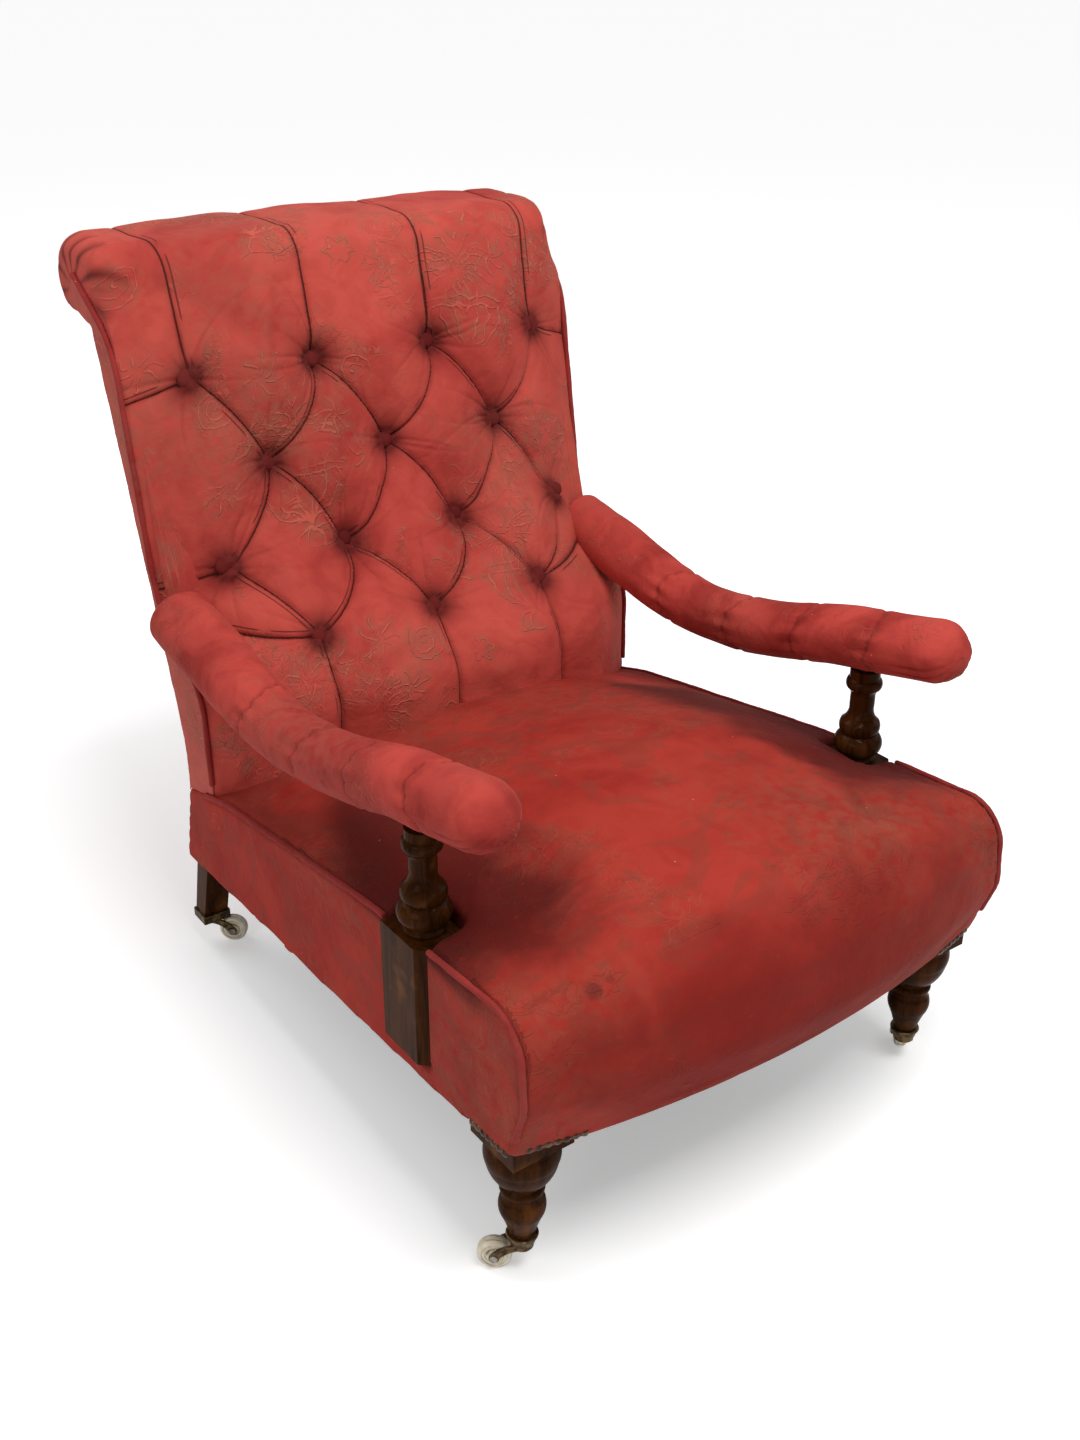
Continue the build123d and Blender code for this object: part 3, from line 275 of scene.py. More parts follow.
beech_across = wood("beech_across", 0, *beech_tones, roughness=0.62, coat=0.0)
beech_along = wood("beech_along", 1, *beech_tones, roughness=0.62, coat=0.0)
for node in parts_across:
    finish_node(node, beech_across)
for node in parts_along:
    finish_node(node, beech_along)


# Legs, back posts and arm supports
# Turned front legs, square raked rear legs and the housed arm supports are walnut, French
# polished nearly black, with the colour rubbed through on the rings and edges.

walnut_tones = ((0.062, 0.019, 0.004), (0.022, 0.006, 0.001), (0.010, 0.003, 0.001), (0.180, 0.062, 0.014))
upright_walnut = wood("upright_walnut", 2, *walnut_tones, roughness=0.20, coat=0.03)
for side_name in ("left", "right"):
    for wooden in ("front_leg", "arm_support", "back_post"):
        finish_node(f"{side_name}_{wooden}", upright_walnut)


# Castors
# Each cast-brass horn turns on a pin in its cup, and carries a glazed ceramic wheel on a steel
# axle. A ring of small beads is cast round the top of each round cup.

tarnish_height = 0.00006
clay_line_pitch = 0.0042
glaze_unevenness = 0.0002


def aged_metal(name, bright, dull, dirt, roughness):
    """Old metal, rubbed bright in places, with dirt in patches."""
    material, tree, shader, place = new_finish(name, {"Metallic": 0.85})
    tarnish = cloud(tree, place, 120, 5, 0.6)
    rubbed = cloud(tree, place, 48, 3, 0.3)
    colour = mixed(tree, tarnish.eased(0.38, 0.62), bright, dull)
    colour = mixed(tree, rubbed.eased(0.52, 0.70) * 0.7, colour, dirt)
    tree.links.new(colour, shader.inputs["Base Color"])
    tree.links.new((tarnish * 0.25 + roughness).socket, shader.inputs["Roughness"])
    tree.links.new(raised(tree, tarnish, tarnish_height), shader.inputs["Normal"])
    return material


def ceramic(name, centre, axle):
    """Cream glazed ware with brown clay lines turned round the wheel's axle."""
    settings = {"Roughness": 0.28, "Coat Weight": 0.4, "Coat Roughness": 0.08}
    material, tree, shader, place = new_finish(name, settings)
    offset = measured(tree, "SUBTRACT", place, centre).outputs[0]
    sideways = Field(tree, measured(tree, "DOT_PRODUCT", offset, axle).outputs["Value"])
    reach = Field(tree, measured(tree, "LENGTH", offset).outputs["Value"])
    radius = (reach * reach - sideways * sideways).through("SQRT")
    drift = cloud(tree, place, 90, 3, 0.4)
    turned = ((radius + sideways.size() * 1.3 + drift * 0.004) / clay_line_pitch).through("FRACT")
    lines = (turned - 0.5).size().eased(0.20, 0.02) * cloud(tree, place, 70, 2).eased(0.36, 0.58)
    colour = mixed(tree, drift.eased(0.35, 0.70), (0.80, 0.73, 0.58), (0.62, 0.52, 0.36))
    colour = mixed(tree, lines * 0.9, colour, (0.10, 0.055, 0.028))
    tree.links.new(colour, shader.inputs["Base Color"])
    tree.links.new(raised(tree, drift, glaze_unevenness), shader.inputs["Normal"])
    return material


brass_tones = ((0.20, 0.125, 0.050), (0.050, 0.030, 0.016), (0.012, 0.008, 0.006))
steel_tones = ((0.42, 0.40, 0.37), (0.20, 0.18, 0.16), (0.06, 0.045, 0.035))
aged_brass = aged_metal("aged_brass", *brass_tones, roughness=0.26)
axle_steel = aged_metal("axle_steel", *steel_tones, roughness=0.28)
joints = {joint["name"]: joint for joint in frame["record"]["behaviour"]["joints"]}
for castor in ("front_left", "front_right", "rear_left", "rear_right"):
    roll = joints[f"{castor}_roll"]
    finish_node(f"{castor}_castor_cup", aged_brass)
    finish_node(f"{castor}_castor_horn", aged_brass)
    finish_node(f"{castor}_castor_axle", axle_steel)
    finish_node(f"{castor}_castor_wheel", ceramic(f"{castor}_ceramic", roll["pos_m"], roll["axis"]))


# Webbing and spring cover
# Jute webbing is strained and tacked over the seat frame and the back. A hessian cover lies over
# the springs, under the stuffing.

jute_thread = 0.0022
jute_tones = ((0.36, 0.25, 0.13), (0.30, 0.20, 0.10), (0.09, 0.055, 0.028))
hessian_thread = 0.0015
hessian_tones = ((0.30, 0.21, 0.11), (0.26, 0.18, 0.09), (0.07, 0.045, 0.025))


def shade(colour, share):
    """A colour made darker or lighter."""
    return tuple(tone * share for tone in colour)


def plain_weave(name, thread, warp, weft, gap):
    """A plain weave of two threads crossing, seen from any side."""
    material, tree, shader, place = new_finish(name, {"Roughness": 0.9, "Specular IOR Level": 0.15})
    split = tree.nodes.new("ShaderNodeSeparateXYZ")
    tree.links.new(place, split.inputs[0])
    turn = math.pi / thread
    across = (Field(tree, split.outputs["X"]) * turn).through("SINE")
    along = ((Field(tree, split.outputs["Y"]) + Field(tree, split.outputs["Z"])) * turn).through("SINE")
    over = (across * along).eased(-0.3, 0.3)
    hollow = across.size().least(along.size()).eased(0.30, 0.02)
    slub = cloud(tree, place, 140, 3)
    colour = mixed(tree, over, warp, weft)
    colour = mixed(tree, slub.eased(0.45, 0.7) * 0.5, colour, shade(warp, 0.55))
    # Painted shade: the hollows between the threads are darkened towards the gap colour.
    colour = mixed(tree, hollow * 0.8, colour, gap)
    tree.links.new(colour, shader.inputs["Base Color"])
    tree.links.new(raised(tree, over * 0.5 + slub * 0.5 - hollow, thread * 0.35), shader.inputs["Normal"])
    return material


jute = plain_weave("jute", jute_thread, *jute_tones)
hessian = plain_weave("hessian", hessian_thread, *hessian_tones)
finish_node("seat_webbing", jute)
finish_node("back_webbing", jute)
finish_node("spring_cover", hessian)


# Seat springs
# Nine waisted springs of steel wire are sewn to the webbing and lashed under the hessian. The
# wire has gone dull and rusty in places.

spring_tones = ((0.30, 0.28, 0.25), (0.13, 0.11, 0.09), (0.05, 0.030, 0.018))
spring_steel = aged_metal("spring_steel", *spring_tones, roughness=0.35)
finish_node("seat_springs", spring_steel)


# Velvet
# The cover is a faded red cotton velvet with a large traditional figure of urns, scrolls
# and flowers in raised line. Years of sitting have laid the pile in patches.

figure_width = 0.25
figure_height = 0.33
line_width = 0.0010
leaf_veins = 7
line_height = 0.0011
pile_height = 0.0006
waver_scale = 34
waver_reach = 0.024
urn_reach = 0.048
urn_depth = 0.050
flowers = (((0.000, 0.036), 0.013, 6), ((0.024, 0.052), 0.010, 5), ((0.094, -0.088), 0.013, 6))
sprays = (
    ((0.000, 0.040), 0.017, 0.046, 17, 2.0),
    ((0.052, 0.058), 0.005, 0.022, 7, -4.0),
    ((0.090, 0.014), 0.009, 0.026, 8, 3.5),
    ((0.030, 0.122), 0.007, 0.024, 7, 4.0),
)
second_crease = 0.0062
stain_colour = (0.06, 0.016, 0.012)
lint_colour = (0.62, 0.30, 0.24)
lint_scale = 75


def length_of(across, up):
    """Distance from a centre, given two offsets."""
    return (across * across + up * up).through("SQRT")


def ring(across, up, centre, wide, tall):
    """Distance to an ellipse's line."""
    offset = length_of((across - centre[0]) / wide, (up - centre[1]) / tall)
    return (offset - 1).size() * min(wide, tall)


def flower(across, up, centre, radius, petals):
    """Distance to the outline of a flower."""
    right, above = across - centre[0], up - centre[1]
    lobes = (above.through("ARCTAN2", right) * petals).through("COSINE") * (radius * 0.3)
    return (length_of(right, above) - radius - lobes).size()


def scroll(across, up, centre, radius, pitch, turn):
    """Distance to a spiral's line, out to a radius."""
    right, above = across - centre[0], (up - centre[1]) * turn
    distance = length_of(right, above)
    wound = distance / pitch - above.through("ARCTAN2", right) / (2 * math.pi) + 0.5
    line = (wound.through("FRACT") - 0.5).size() * pitch
    return line.most(distance - radius)


def spray(across, up, centre, inner, outer, strokes, twist):
    """Distance to the strokes of a spray of leaves that turn as they spread from a centre."""
    right, above = across - centre[0], up - centre[1]
    distance = length_of(right, above)
    bearing = above.through("ARCTAN2", right) / (2 * math.pi) + distance * twist
    stroke = ((bearing * strokes).through("FRACT") - 0.5).size() * distance * (2 * math.pi / strokes)
    return stroke.most(distance - outer).most(distance * -1 + inner)


def figured_group():
    """The traditional figure of the cloth: its raised lines, and the ground close to them."""
    group = bpy.data.node_groups.new("figured_cloth", "ShaderNodeTree")
    group.interface.new_socket("Cloth", in_out="INPUT", socket_type="NodeSocketVector")
    group.interface.new_socket("Lines", in_out="OUTPUT", socket_type="NodeSocketFloat")
    group.interface.new_socket("Ground", in_out="OUTPUT", socket_type="NodeSocketFloat")
    start = group.nodes.new("NodeGroupInput")
    end = group.nodes.new("NodeGroupOutput")
    split = group.nodes.new("ShaderNodeSeparateXYZ")
    waver = group.nodes.new("ShaderNodeTexNoise")
    waver.inputs["Scale"].default_value = waver_scale
    waver.inputs["Detail"].default_value = 3
    group.links.new(start.outputs["Cloth"], waver.inputs["Vector"])
    centred = measured(group, "SUBTRACT", waver.outputs["Color"], (0.5, 0.5, 0.5)).outputs[0]
    drawn = measured(group, "MULTIPLY_ADD", centred, (waver_reach, waver_reach, 0))
    group.links.new(start.outputs["Cloth"], drawn.inputs[2])
    group.links.new(drawn.outputs[0], split.inputs[0])
    column = Field(group, split.outputs["X"]) / figure_width
    half_drop = column.through("FLOOR").through("FLOORED_MODULO", 2) * 0.5
    row = Field(group, split.outputs["Y"]) / figure_height + half_drop
    across = (column.through("FRACT") - 0.5).size() * figure_width
    up = (row.through("FRACT") - 0.5) * figure_height
    bowl = ring(across, up, (0, 0), urn_reach, urn_depth)
    for share in (0.28, 0.62):
        bowl = bowl.least(ring(across, up, (0, 0), urn_reach * share, urn_depth))
    bowl = bowl.most(up)
    rim = up.size().least((up - 0.009).size()).most(across - 0.052)
    foot = ring(across, up, (0, -0.078), 0.026, 0.022)
    foot = foot.least(ring(across, up, (0, -0.078), 0.012, 0.022)).most(up * -1 - 0.078)
    base = (up + 0.079).size().most(across - 0.030)
    figure = bowl.least(rim).least(foot).least(base)
    for flower_form in flowers:
        figure = figure.least(flower(across, up, *flower_form))
    for spray_form in sprays:
        figure = figure.least(spray(across, up, *spray_form))
    figure = figure.least(scroll(across, up, (0.088, 0.105), 0.024, 0.0100, -1))
    leafy = cloud(group, drawn.outputs[0], 46, 2, 1.0)
    veins = ((leafy * leaf_veins).through("FRACT") - 0.5).size().eased(0.14, 0.04)
    leaves = cloud(group, drawn.outputs[0], 8.5, 1, 0.6).eased(0.53, 0.57)
    urn = figure.eased(line_width * 1.6, line_width * 0.4)
    lines = urn.most(veins * leaves * 0.8)
    ground = figure.eased(0.009, 0.002).most(leaves * leafy.eased(0.42, 0.50))
    group.links.new(lines.socket, end.inputs["Lines"])
    group.links.new(ground.socket, end.inputs["Ground"])
    return group


figured_cloth = figured_group()


def carried(tree, name):
    """A number that the mesh itself carries at each point."""
    number = tree.nodes.new("ShaderNodeAttribute")
    number.attribute_name = name
    return Field(tree, number.outputs["Fac"])


def velvet(name, lit, deep, worn, figure_strength=1.0, laid_pile_and_shade=0.0, sheen=0.16, stains=()):
    """The velvet of one part of the chair, from its brushed, flattened and worn colours, with painted
    shade.
    """
    material, tree, shader, around = new_finish(name, {
        "Roughness": 0.86, "Specular IOR Level": 0.18, "Sheen Weight": sheen,
        "Sheen Roughness": 0.30, "Sheen Tint": (1.0, 0.40, 0.34, 1),
    })
    cloth = around.node.outputs["UV"]
    group = tree.nodes.new("ShaderNodeGroup")
    group.node_tree = figured_cloth
    tree.links.new(cloth, group.inputs["Cloth"])
    kept = cloud(tree, around, 8, 2, 0.5).eased(0.42, 0.58)
    lines = Field(tree, group.outputs["Lines"]) * kept
    ground = Field(tree, group.outputs["Ground"]) * kept
    nap = cloud(tree, around, 5.5, 4, 1.2).eased(0.36, 0.66)
    brushed = cloud(tree, around, 21, 5, 1.6).eased(0.40, 0.68)
    fading = cloud(tree, around, 3.1, 5, 0.4).eased(0.42, 0.66)
    flock = cloud(tree, around, 160, 3)
    colour = mixed(tree, nap * 0.62 + brushed * 0.26, lit, deep)
    thinned = fading * cloud(tree, around, 75, 4).eased(0.30, 0.66)
    colour = mixed(tree, thinned * 0.60, colour, worn)
    bared = ground * cloud(tree, around, 60, 4).eased(0.38, 0.60)
    colour = mixed(tree, bared * (0.60 * figure_strength), colour, worn)
    if laid_pile_and_shade:
        silhouettes = cloud(tree, cloth, 9, 2, 2.6).eased(0.51, 0.56)
        colour = mixed(tree, silhouettes * laid_pile_and_shade, colour, shade(worn, 0.62))
    line_colour = (lit[0] * 1.15, lit[1] * 2.0, lit[2] * 1.8)
    colour = mixed(tree, lines * (0.40 * figure_strength), colour, line_colour)
    # Painted shade: on the seat, the front face is darkened, and painted shadow of each arm lies on the
    # seat beside it.
    if laid_pile_and_shade:
        split = tree.nodes.new("ShaderNodeSeparateXYZ")
        tree.links.new(around, split.inputs[0])
        edge = cloud(tree, around, 12, 3, 0.8) * 0.10
        aside = Field(tree, split.outputs["X"]).size() + edge
        depth = Field(tree, split.outputs["Y"]) + edge
        front = depth.eased(-0.375, -0.455)
        arm_shadow = aside.eased(0.185, 0.262) * depth.eased(-0.37, -0.28)
        arm_shadow = arm_shadow * Field(tree, split.outputs["Z"]).eased(0.315, 0.335)
        colour = mixed(tree, front * 0.80, colour, shade(deep, 0.75))
        colour = mixed(tree, arm_shadow * 0.85, colour, shade(deep, 0.26))
    for spot, width, strength in stains:
        away = Field(tree, measured(tree, "DISTANCE", around, spot).outputs["Value"])
        spread = away + cloud(tree, around, 90, 3) * width - width * 0.5
        colour = mixed(tree, spread.eased(width, width * 0.4) * strength, colour, stain_colour)
    lint = tree.nodes.new("ShaderNodeTexVoronoi")
    lint.inputs["Scale"].default_value = lint_scale
    tree.links.new(around, lint.inputs["Vector"])
    specks = Field(tree, lint.outputs["Distance"]).eased(0.075, 0.045)
    chosen = tree.nodes.new("ShaderNodeSeparateColor")
    tree.links.new(lint.outputs["Color"], chosen.inputs[0])
    specks = specks * Field(tree, chosen.outputs[0]).eased(0.955, 0.965)
    colour = mixed(tree, specks * 0.7, colour, lint_colour)
    beside, close = carried(tree, "seam"), carried(tree, "pleat")
    # Painted shade: a thin dark line along each pleat's crease, and a fainter one beside it. The same lines
    # also sink the bump.
    crease = beside.size().eased(0.0013, 0.0005) * close.eased(0.5, 0.7)
    second = (beside - second_crease).size().eased(0.0011, 0.0004) * close.eased(0.15, 0.35)
    crease = crease.most(second * cloud(tree, around, 16, 1).eased(0.50, 0.56) * 0.7)
    # Painted shade: the velvet is darkened in its pits, creases, wrinkles, tucks and stitch lines, as the
    # mesh marks them.
    colour = mixed(tree, carried(tree, "fold_shade"), colour, shade(deep, 0.30))
    colour = mixed(tree, crease * 0.85, colour, shade(deep, 0.22))
    colour = mixed(tree, flock.eased(0.62, 0.85) * 0.25, colour, shade(lit, 1.35))
    tree.links.new(colour, shader.inputs["Base Color"])
    pile = raised(tree, flock, pile_height)
    relief = lines * figure_strength + brushed * 0.35 - crease * 1.5
    tree.links.new(raised(tree, relief, line_height, pile), shader.inputs["Normal"])
    return material


# Seat
# The stuffed and sprung seat has a crowned top that rolls over a bulging front. Its sides
# are flat panels, sewn to the top along a piped edge.

seat_voxel = 0.0055
seat_pressure = 3.0
seat_swell = 0.006
seat_steps = 14
seam_from = 0.284
seam_ease = 0.010
seam_plump = 0.0007
lump_height = 0.0034
small_lump_height = 0.0012
seat_stains = (((-0.236, -0.444, 0.355), 0.012, 0.55), ((-0.216, -0.443, 0.357), 0.006, 0.35))
seat_velvet = velvet(
    "seat_velvet", lit=(0.37, 0.032, 0.020), deep=(0.26, 0.014, 0.009), worn=(0.27, 0.066, 0.038),
    figure_strength=0.55, laid_pile_and_shade=0.30, sheen=0.04, stains=seat_stains,
)


def link_new(name, mesh):
    """Puts a new piece in the scene."""
    piece = bpy.data.objects.new(name, mesh)
    scene.collection.objects.link(piece)
    return piece


def bare_copy(node, name):
    """A merged copy of a CAD node's mesh, without its materials."""
    mesh = cad_nodes[node].data.copy()
    mesh.name = name
    mesh.materials.clear()
    work = bmesh.new()
    work.from_mesh(mesh)
    bmesh.ops.remove_doubles(work, verts=work.verts, dist=1e-6)
    work.to_mesh(mesh)
    work.free()
    return link_new(name, mesh)


def applied(piece):
    """The piece's evaluated mesh, made its own, with every modifier gone."""
    graph = bpy.context.evaluated_depsgraph_get()
    mesh = bpy.data.meshes.new_from_object(piece.evaluated_get(graph))
    piece.modifiers.clear()
    piece.data = mesh


def evened(piece, voxel, rounds):
    """Gives a piece an even mesh, and softens its edges."""
    even = piece.modifiers.new("even", "REMESH")
    even.mode = "VOXEL"
    even.voxel_size = voxel
    applied(piece)
    soften = piece.modifiers.new("soften", "SMOOTH")
    soften.factor = 0.5
    soften.iterations = rounds
    applied(piece)


def places_of(mesh):
    """The mesh's vertex places as an array."""
    flat = np.empty(len(mesh.vertices) * 3)
    mesh.vertices.foreach_get("co", flat)
    return flat.reshape(-1, 3)


def normals_of(mesh):
    """The mesh's vertex normals as an array."""
    flat = np.empty(len(mesh.vertices) * 3)
    mesh.vertex_normals.foreach_get("vector", flat)
    return flat.reshape(-1, 3)


def move_to(mesh, places):
    """Writes new vertex places."""
    mesh.vertices.foreach_set("co", places.reshape(-1))
    mesh.update()


def swell(piece, held, pressure, limit, steps):
    """Blows a closed form up as cloth, but for its held points, and none further than a limit."""
    before = places_of(piece.data)
    group = piece.vertex_groups.new(name="held")
    for index in np.nonzero(held)[0]:
        group.add([int(index)], 1.0, "REPLACE")
    cloth = piece.modifiers.new("cloth", "CLOTH")
    cloth.settings.quality = 4
    cloth.settings.mass = 0.3
    cloth.settings.tension_stiffness = 12
    cloth.settings.compression_stiffness = 12
    cloth.settings.shear_stiffness = 6
    cloth.settings.bending_stiffness = 0.4
    cloth.settings.use_pressure = True
    cloth.settings.uniform_pressure_force = pressure
    cloth.settings.effector_weights.gravity = 0
    cloth.collision_settings.use_collision = False
    cloth.settings.vertex_group_mass = "held"
    for step in range(1, steps + 1):
        scene.frame_set(step)
    applied(piece)
    scene.frame_set(1)
    shift = places_of(piece.data) - before
    reach = np.linalg.norm(shift, axis=1, keepdims=True)
    shift *= np.minimum(1, limit / np.maximum(reach, 1e-9))
    move_to(piece.data, before + shift)
    piece.vertex_groups.clear()


def ripple(points, scale, seed):
    """A soft seeded noise, from -1 to 1, at each point."""
    offset = Vector((seed * 7.3, seed * 3.1, seed * 5.7))
    return np.array([noise.noise(Vector(point) * scale + offset) for point in points])


def laid_out(mesh, measure):
    """Gives a mesh the cloth's own measure at each corner as its UV map, and shades it smooth."""
    layer = mesh.uv_layers.new(name="cloth")
    layer.data.foreach_set("uv", measure.reshape(-1))
    mesh.polygons.foreach_set("use_smooth", [True] * len(mesh.polygons))


def lay_cloth(piece):
    """Lays the cloth's own measure over a piece: over its top and front, and flat on its sides."""
    mesh = piece.data
    points = places_of(mesh)
    normals = normals_of(mesh)
    sideways = np.abs(normals[:, 0]) > 0.7
    across = np.where(sideways, points[:, 1] * np.sign(normals[:, 0]), points[:, 0])
    upward = np.where(sideways, points[:, 2], points[:, 1] + points[:, 2])
    corners = np.empty(len(mesh.loops), dtype=int)
    mesh.loops.foreach_get("vertex_index", corners)
    laid_out(mesh, np.stack([across[corners], upward[corners]], axis=1))


def dress(piece, material, node):
    """Gives a finished piece its material, and hides the CAD node it stands for. It rides the chair."""
    piece.data.materials.clear()
    piece.data.materials.append(material)
    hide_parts(node)
    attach(piece, "chair")


seat = bare_copy("seat_cushion", "seat")
seat_corners = [spot.co for spot in seat.data.vertices]
sewn = BVHTree.FromPolygons(seat_corners, [side.vertices for side in seat.data.polygons])
evened(seat, seat_voxel, 4)
rest = places_of(seat.data)
outward = normals_of(seat.data)
top = (outward[:, 2] > 0.2) | (outward[:, 1] < -0.5)
inside = (np.abs(rest[:, 0]) < 0.298) & (rest[:, 2] < 0.30) & (rest[:, 1] > -0.46)
swell(seat, inside | ~top, seat_pressure, seat_swell, seat_steps)
points = places_of(seat.data)
outward = normals_of(seat.data)
upper = np.clip((outward[:, 2] + 0.5 - outward[:, 1]) / 1.2, 0, 1) * (points[:, 2] > 0.21)
lumps = ripple(points, 5.0, 1) * lump_height + ripple(points, 14.0, 2) * small_lump_height
points += outward * (lumps * upper)[:, None]
held = np.clip((np.abs(points[:, 0]) - seam_from) / seam_ease, 0, 1)
for index in np.nonzero(held)[0]:
    seam_point, seam_normal, _, _ = sewn.find_nearest(Vector(points[index]))
    sewn_down = np.array(seam_point + seam_normal * seam_plump)
    points[index] += (sewn_down - points[index]) * held[index]
move_to(seat.data, points)
lay_cloth(seat)
dress(seat, seat_velvet, "seat_cushion")


# Back
# One length of velvet is buttoned through the stuffing in four rows, with folded pleats
# from button to button, and then rolls over the crest as a scroll.

back_half_width = 0.3022
back_front_y = 0.108
back_low_z = 0.205
back_reach = 0.397
back_rise = 0.669
back_side_line = (
    (0.194, 0.000), (0.202, 0.291), (0.465, 0.426), (0.581, 0.845),
    (0.631, 0.991), (0.995, 0.991), (0.995, 0.857),
)
back_middle_line = (
    (0.018, 0.000), (0.000, 0.269), (0.338, 0.531), (0.429, 0.800),
    (0.548, 1.000), (1.000, 1.000), (1.000, 0.854),
)
back_rounds = (0.070, 0.080, 0.120, 0.050, 0.046, 0.043)
back_bulge_power = 4
knee = (0.2456, 0.288)
knee_blend = 0.0623
leg_rake = math.radians(14.8)
back_recline = math.radians(16.8)
bay_half_width = 0.2943
crest_front, crest_rear, crest_low, crest_high = 0.3601, 0.4447, 0.7897, 0.8343
post_front_low = (0.2050, 0.288)
back_rows = 460
back_columns = 290
wall_columns = 6
inner_rows = 11
side_levels = (0.7765, 0.7755, 0.7745, 0.7735, 0.60, 0.36, 0.34, 0.32, 0.30, 0.28)
button_pitch = 0.1575
button_rows = ((4, 0.780, 0.509, 15), (3, 0.626, 0.441, 15), (4, 0.475, 0.369, 20), (3, 0.354, 0.184, 34))
pleat_depth = 0.012
pleat_reach = 0.026
crack_depth = 0.0060
crack_reach = 0.0028
flap_height = 0.0026
flap_width = 0.007
pleat_bows = {-0.5: -0.040, 0.5: -0.012}
pit_rim = 0.0085
pit_reach = 0.0155
pit_shade_reach = 0.030
scroll_heart = (0.440, 0.812)
scroll_end_start = 0.270
scroll_end_share = 0.62
gather_depth = 0.0044
scroll_tucks = (
    (-2.95, 0.10, 0.60), (2.75, 0.09, 0.90), (2.20, 0.10, 0.70), (1.62, 0.09, 1.00),
    (1.05, 0.11, 0.75), (0.45, 0.10, 0.90), (-0.25, 0.11, 0.70), (-0.95, 0.10, 0.80),
)
wrinkles_each = 11
wrinkle_width = 0.0022
wrinkle_depth = 0.0046
wave_height = 0.0024
ripple_height = 0.0010
off_seam = 0.05
back_velvet = velvet(
    "back_velvet", lit=(0.53, 0.074, 0.054), deep=(0.32, 0.026, 0.021), worn=(0.31, 0.090, 0.056),
)


def rear_line(z):
    """Y of the chair's rear outline at height z."""
    return knee[0] + abs(z - knee[1]) * math.tan(back_recline if z > knee[1] else leg_rake)


def rear_round(z):
    """The same outline with its knee rounded."""
    return sum(rear_line(z + shift) for shift in np.linspace(-knee_blend, knee_blend, 13)) / 13


def seat_top(x, y):
    """Height of the seat's top under the back."""
    fullness = 1 - min(1, abs(x) / 0.308) ** 2
    front = 0.332 + 0.073 * fullness
    rear = 0.283 + 0.055 * fullness
    start, end = -0.200, 0.110 - 0.026 * fullness
    share = (y - start) / (end - start)
    if share <= 1:
        return front + (rear - front) * share
    far = (0.252 + 0.016 * fullness) - rear
    return rear + far * (y - end) / (rear_line(0.26) - end)


def rounded_line(corners, rounds, arc_points=14):
    """Points along straight runs that are joined by tangent arcs."""
    corners = [np.array(corner) for corner in corners]
    line = [corners[0]]
    for before, corner, after, radius in zip(corners, corners[1:], corners[2:], rounds):
        arrive = (corner - before) / np.linalg.norm(corner - before)
        leave = (after - corner) / np.linalg.norm(after - corner)
        turn = math.acos(np.clip(arrive @ leave, -1, 1))
        start = corner - arrive * radius * math.tan(turn / 2)
        side = np.sign(arrive[0] * leave[1] - arrive[1] * leave[0])
        inward = side * np.array([-arrive[1], arrive[0]])
        for place in range(arc_points + 1):
            angle = turn * place / arc_points
            line.append(start + radius * (arrive * math.sin(angle) + inward * (1 - math.cos(angle))))
    line.append(corners[-1])
    return np.array(line)


def evenly(line, count):
    """The same line, as evenly spaced points."""
    steps = np.linalg.norm(np.diff(line, axis=0), axis=1)
    travelled = np.concatenate([[0], np.cumsum(steps)])
    places = np.linspace(0, travelled[-1], count)
    columns = [np.interp(places, travelled, line[:, axis]) for axis in range(line.shape[1])]
    return np.stack(columns, axis=1), travelled[-1]


def back_face(x):
    """The outer line of the back at x, from the seat over the scroll to its underside."""
    fullness = 1 - min(1, abs(x) / back_half_width) ** back_bulge_power
    corners = []
    for low, high in zip(back_side_line, back_middle_line):
        reach = low[0] + (high[0] - low[0]) * fullness
        rise = low[1] + (high[1] - low[1]) * fullness
        corners.append((back_front_y + back_reach * reach, back_low_z + back_rise * rise))
    foot, above = corners[0], corners[1]
    landing_z = 0.30
    for _ in range(4):
        landing_y = foot[0] + (above[0] - foot[0]) * (landing_z - foot[1]) / (above[1] - foot[1])
        landing_z = seat_top(x, landing_y)
    corners[0] = (landing_y, landing_z)
    corners.append((rear_line(corners[-1][1]), corners[-1][1]))
    return rounded_line(corners, back_rounds)


def drawn_in(x, line):
    """The same line at x, with the scroll's end gathered in towards its heart."""
    outer = max(0, (abs(x) - scroll_end_start) / (back_half_width - scroll_end_start))
    size = scroll_end_share + (1 - scroll_end_share) * math.sqrt(max(0, 1 - outer**2.4))
    weight = np.clip(np.maximum((line[:, 1] - 0.772) / 0.055, (line[:, 0] - 0.400) / 0.050), 0, 1)
    ease = (weight * weight * (3 - 2 * weight))[:, None]
    heart = np.array(scroll_heart)
    return line + (heart + (line - heart) * size - line) * ease


def button_place(row, column):
    """The seat of a button, in X, Y and Z, and the way it faces."""
    count, rise, reach, tilt = button_rows[row]
    x = (column - (count - 1) / 2) * button_pitch
    centre = np.array([x, back_front_y + back_reach * reach, back_low_z + back_rise * rise])
    angle = math.radians(tilt)
    return centre, np.array([0, -math.cos(angle), math.sin(angle)])


# The unbuttoned face is one smooth line after another, from side to side.
column_places = np.linspace(-bay_half_width, bay_half_width, back_columns)
wall_shares = np.sin(np.linspace(0, math.pi / 2, wall_columns))
edge_places = bay_half_width + (back_half_width - bay_half_width) * wall_shares
all_columns = np.concatenate([-edge_places[::-1], column_places, edge_places])
face = np.empty((back_rows, len(all_columns), 3))
for place, x in enumerate(all_columns):
    line, _ = evenly(back_face(x), back_rows)
    face[:, place, 0] = x
    face[:, place, 1:] = drawn_in(x, line)
_, face_length = evenly(back_face(0), back_rows)
drop = np.linspace(0, face_length, back_rows)

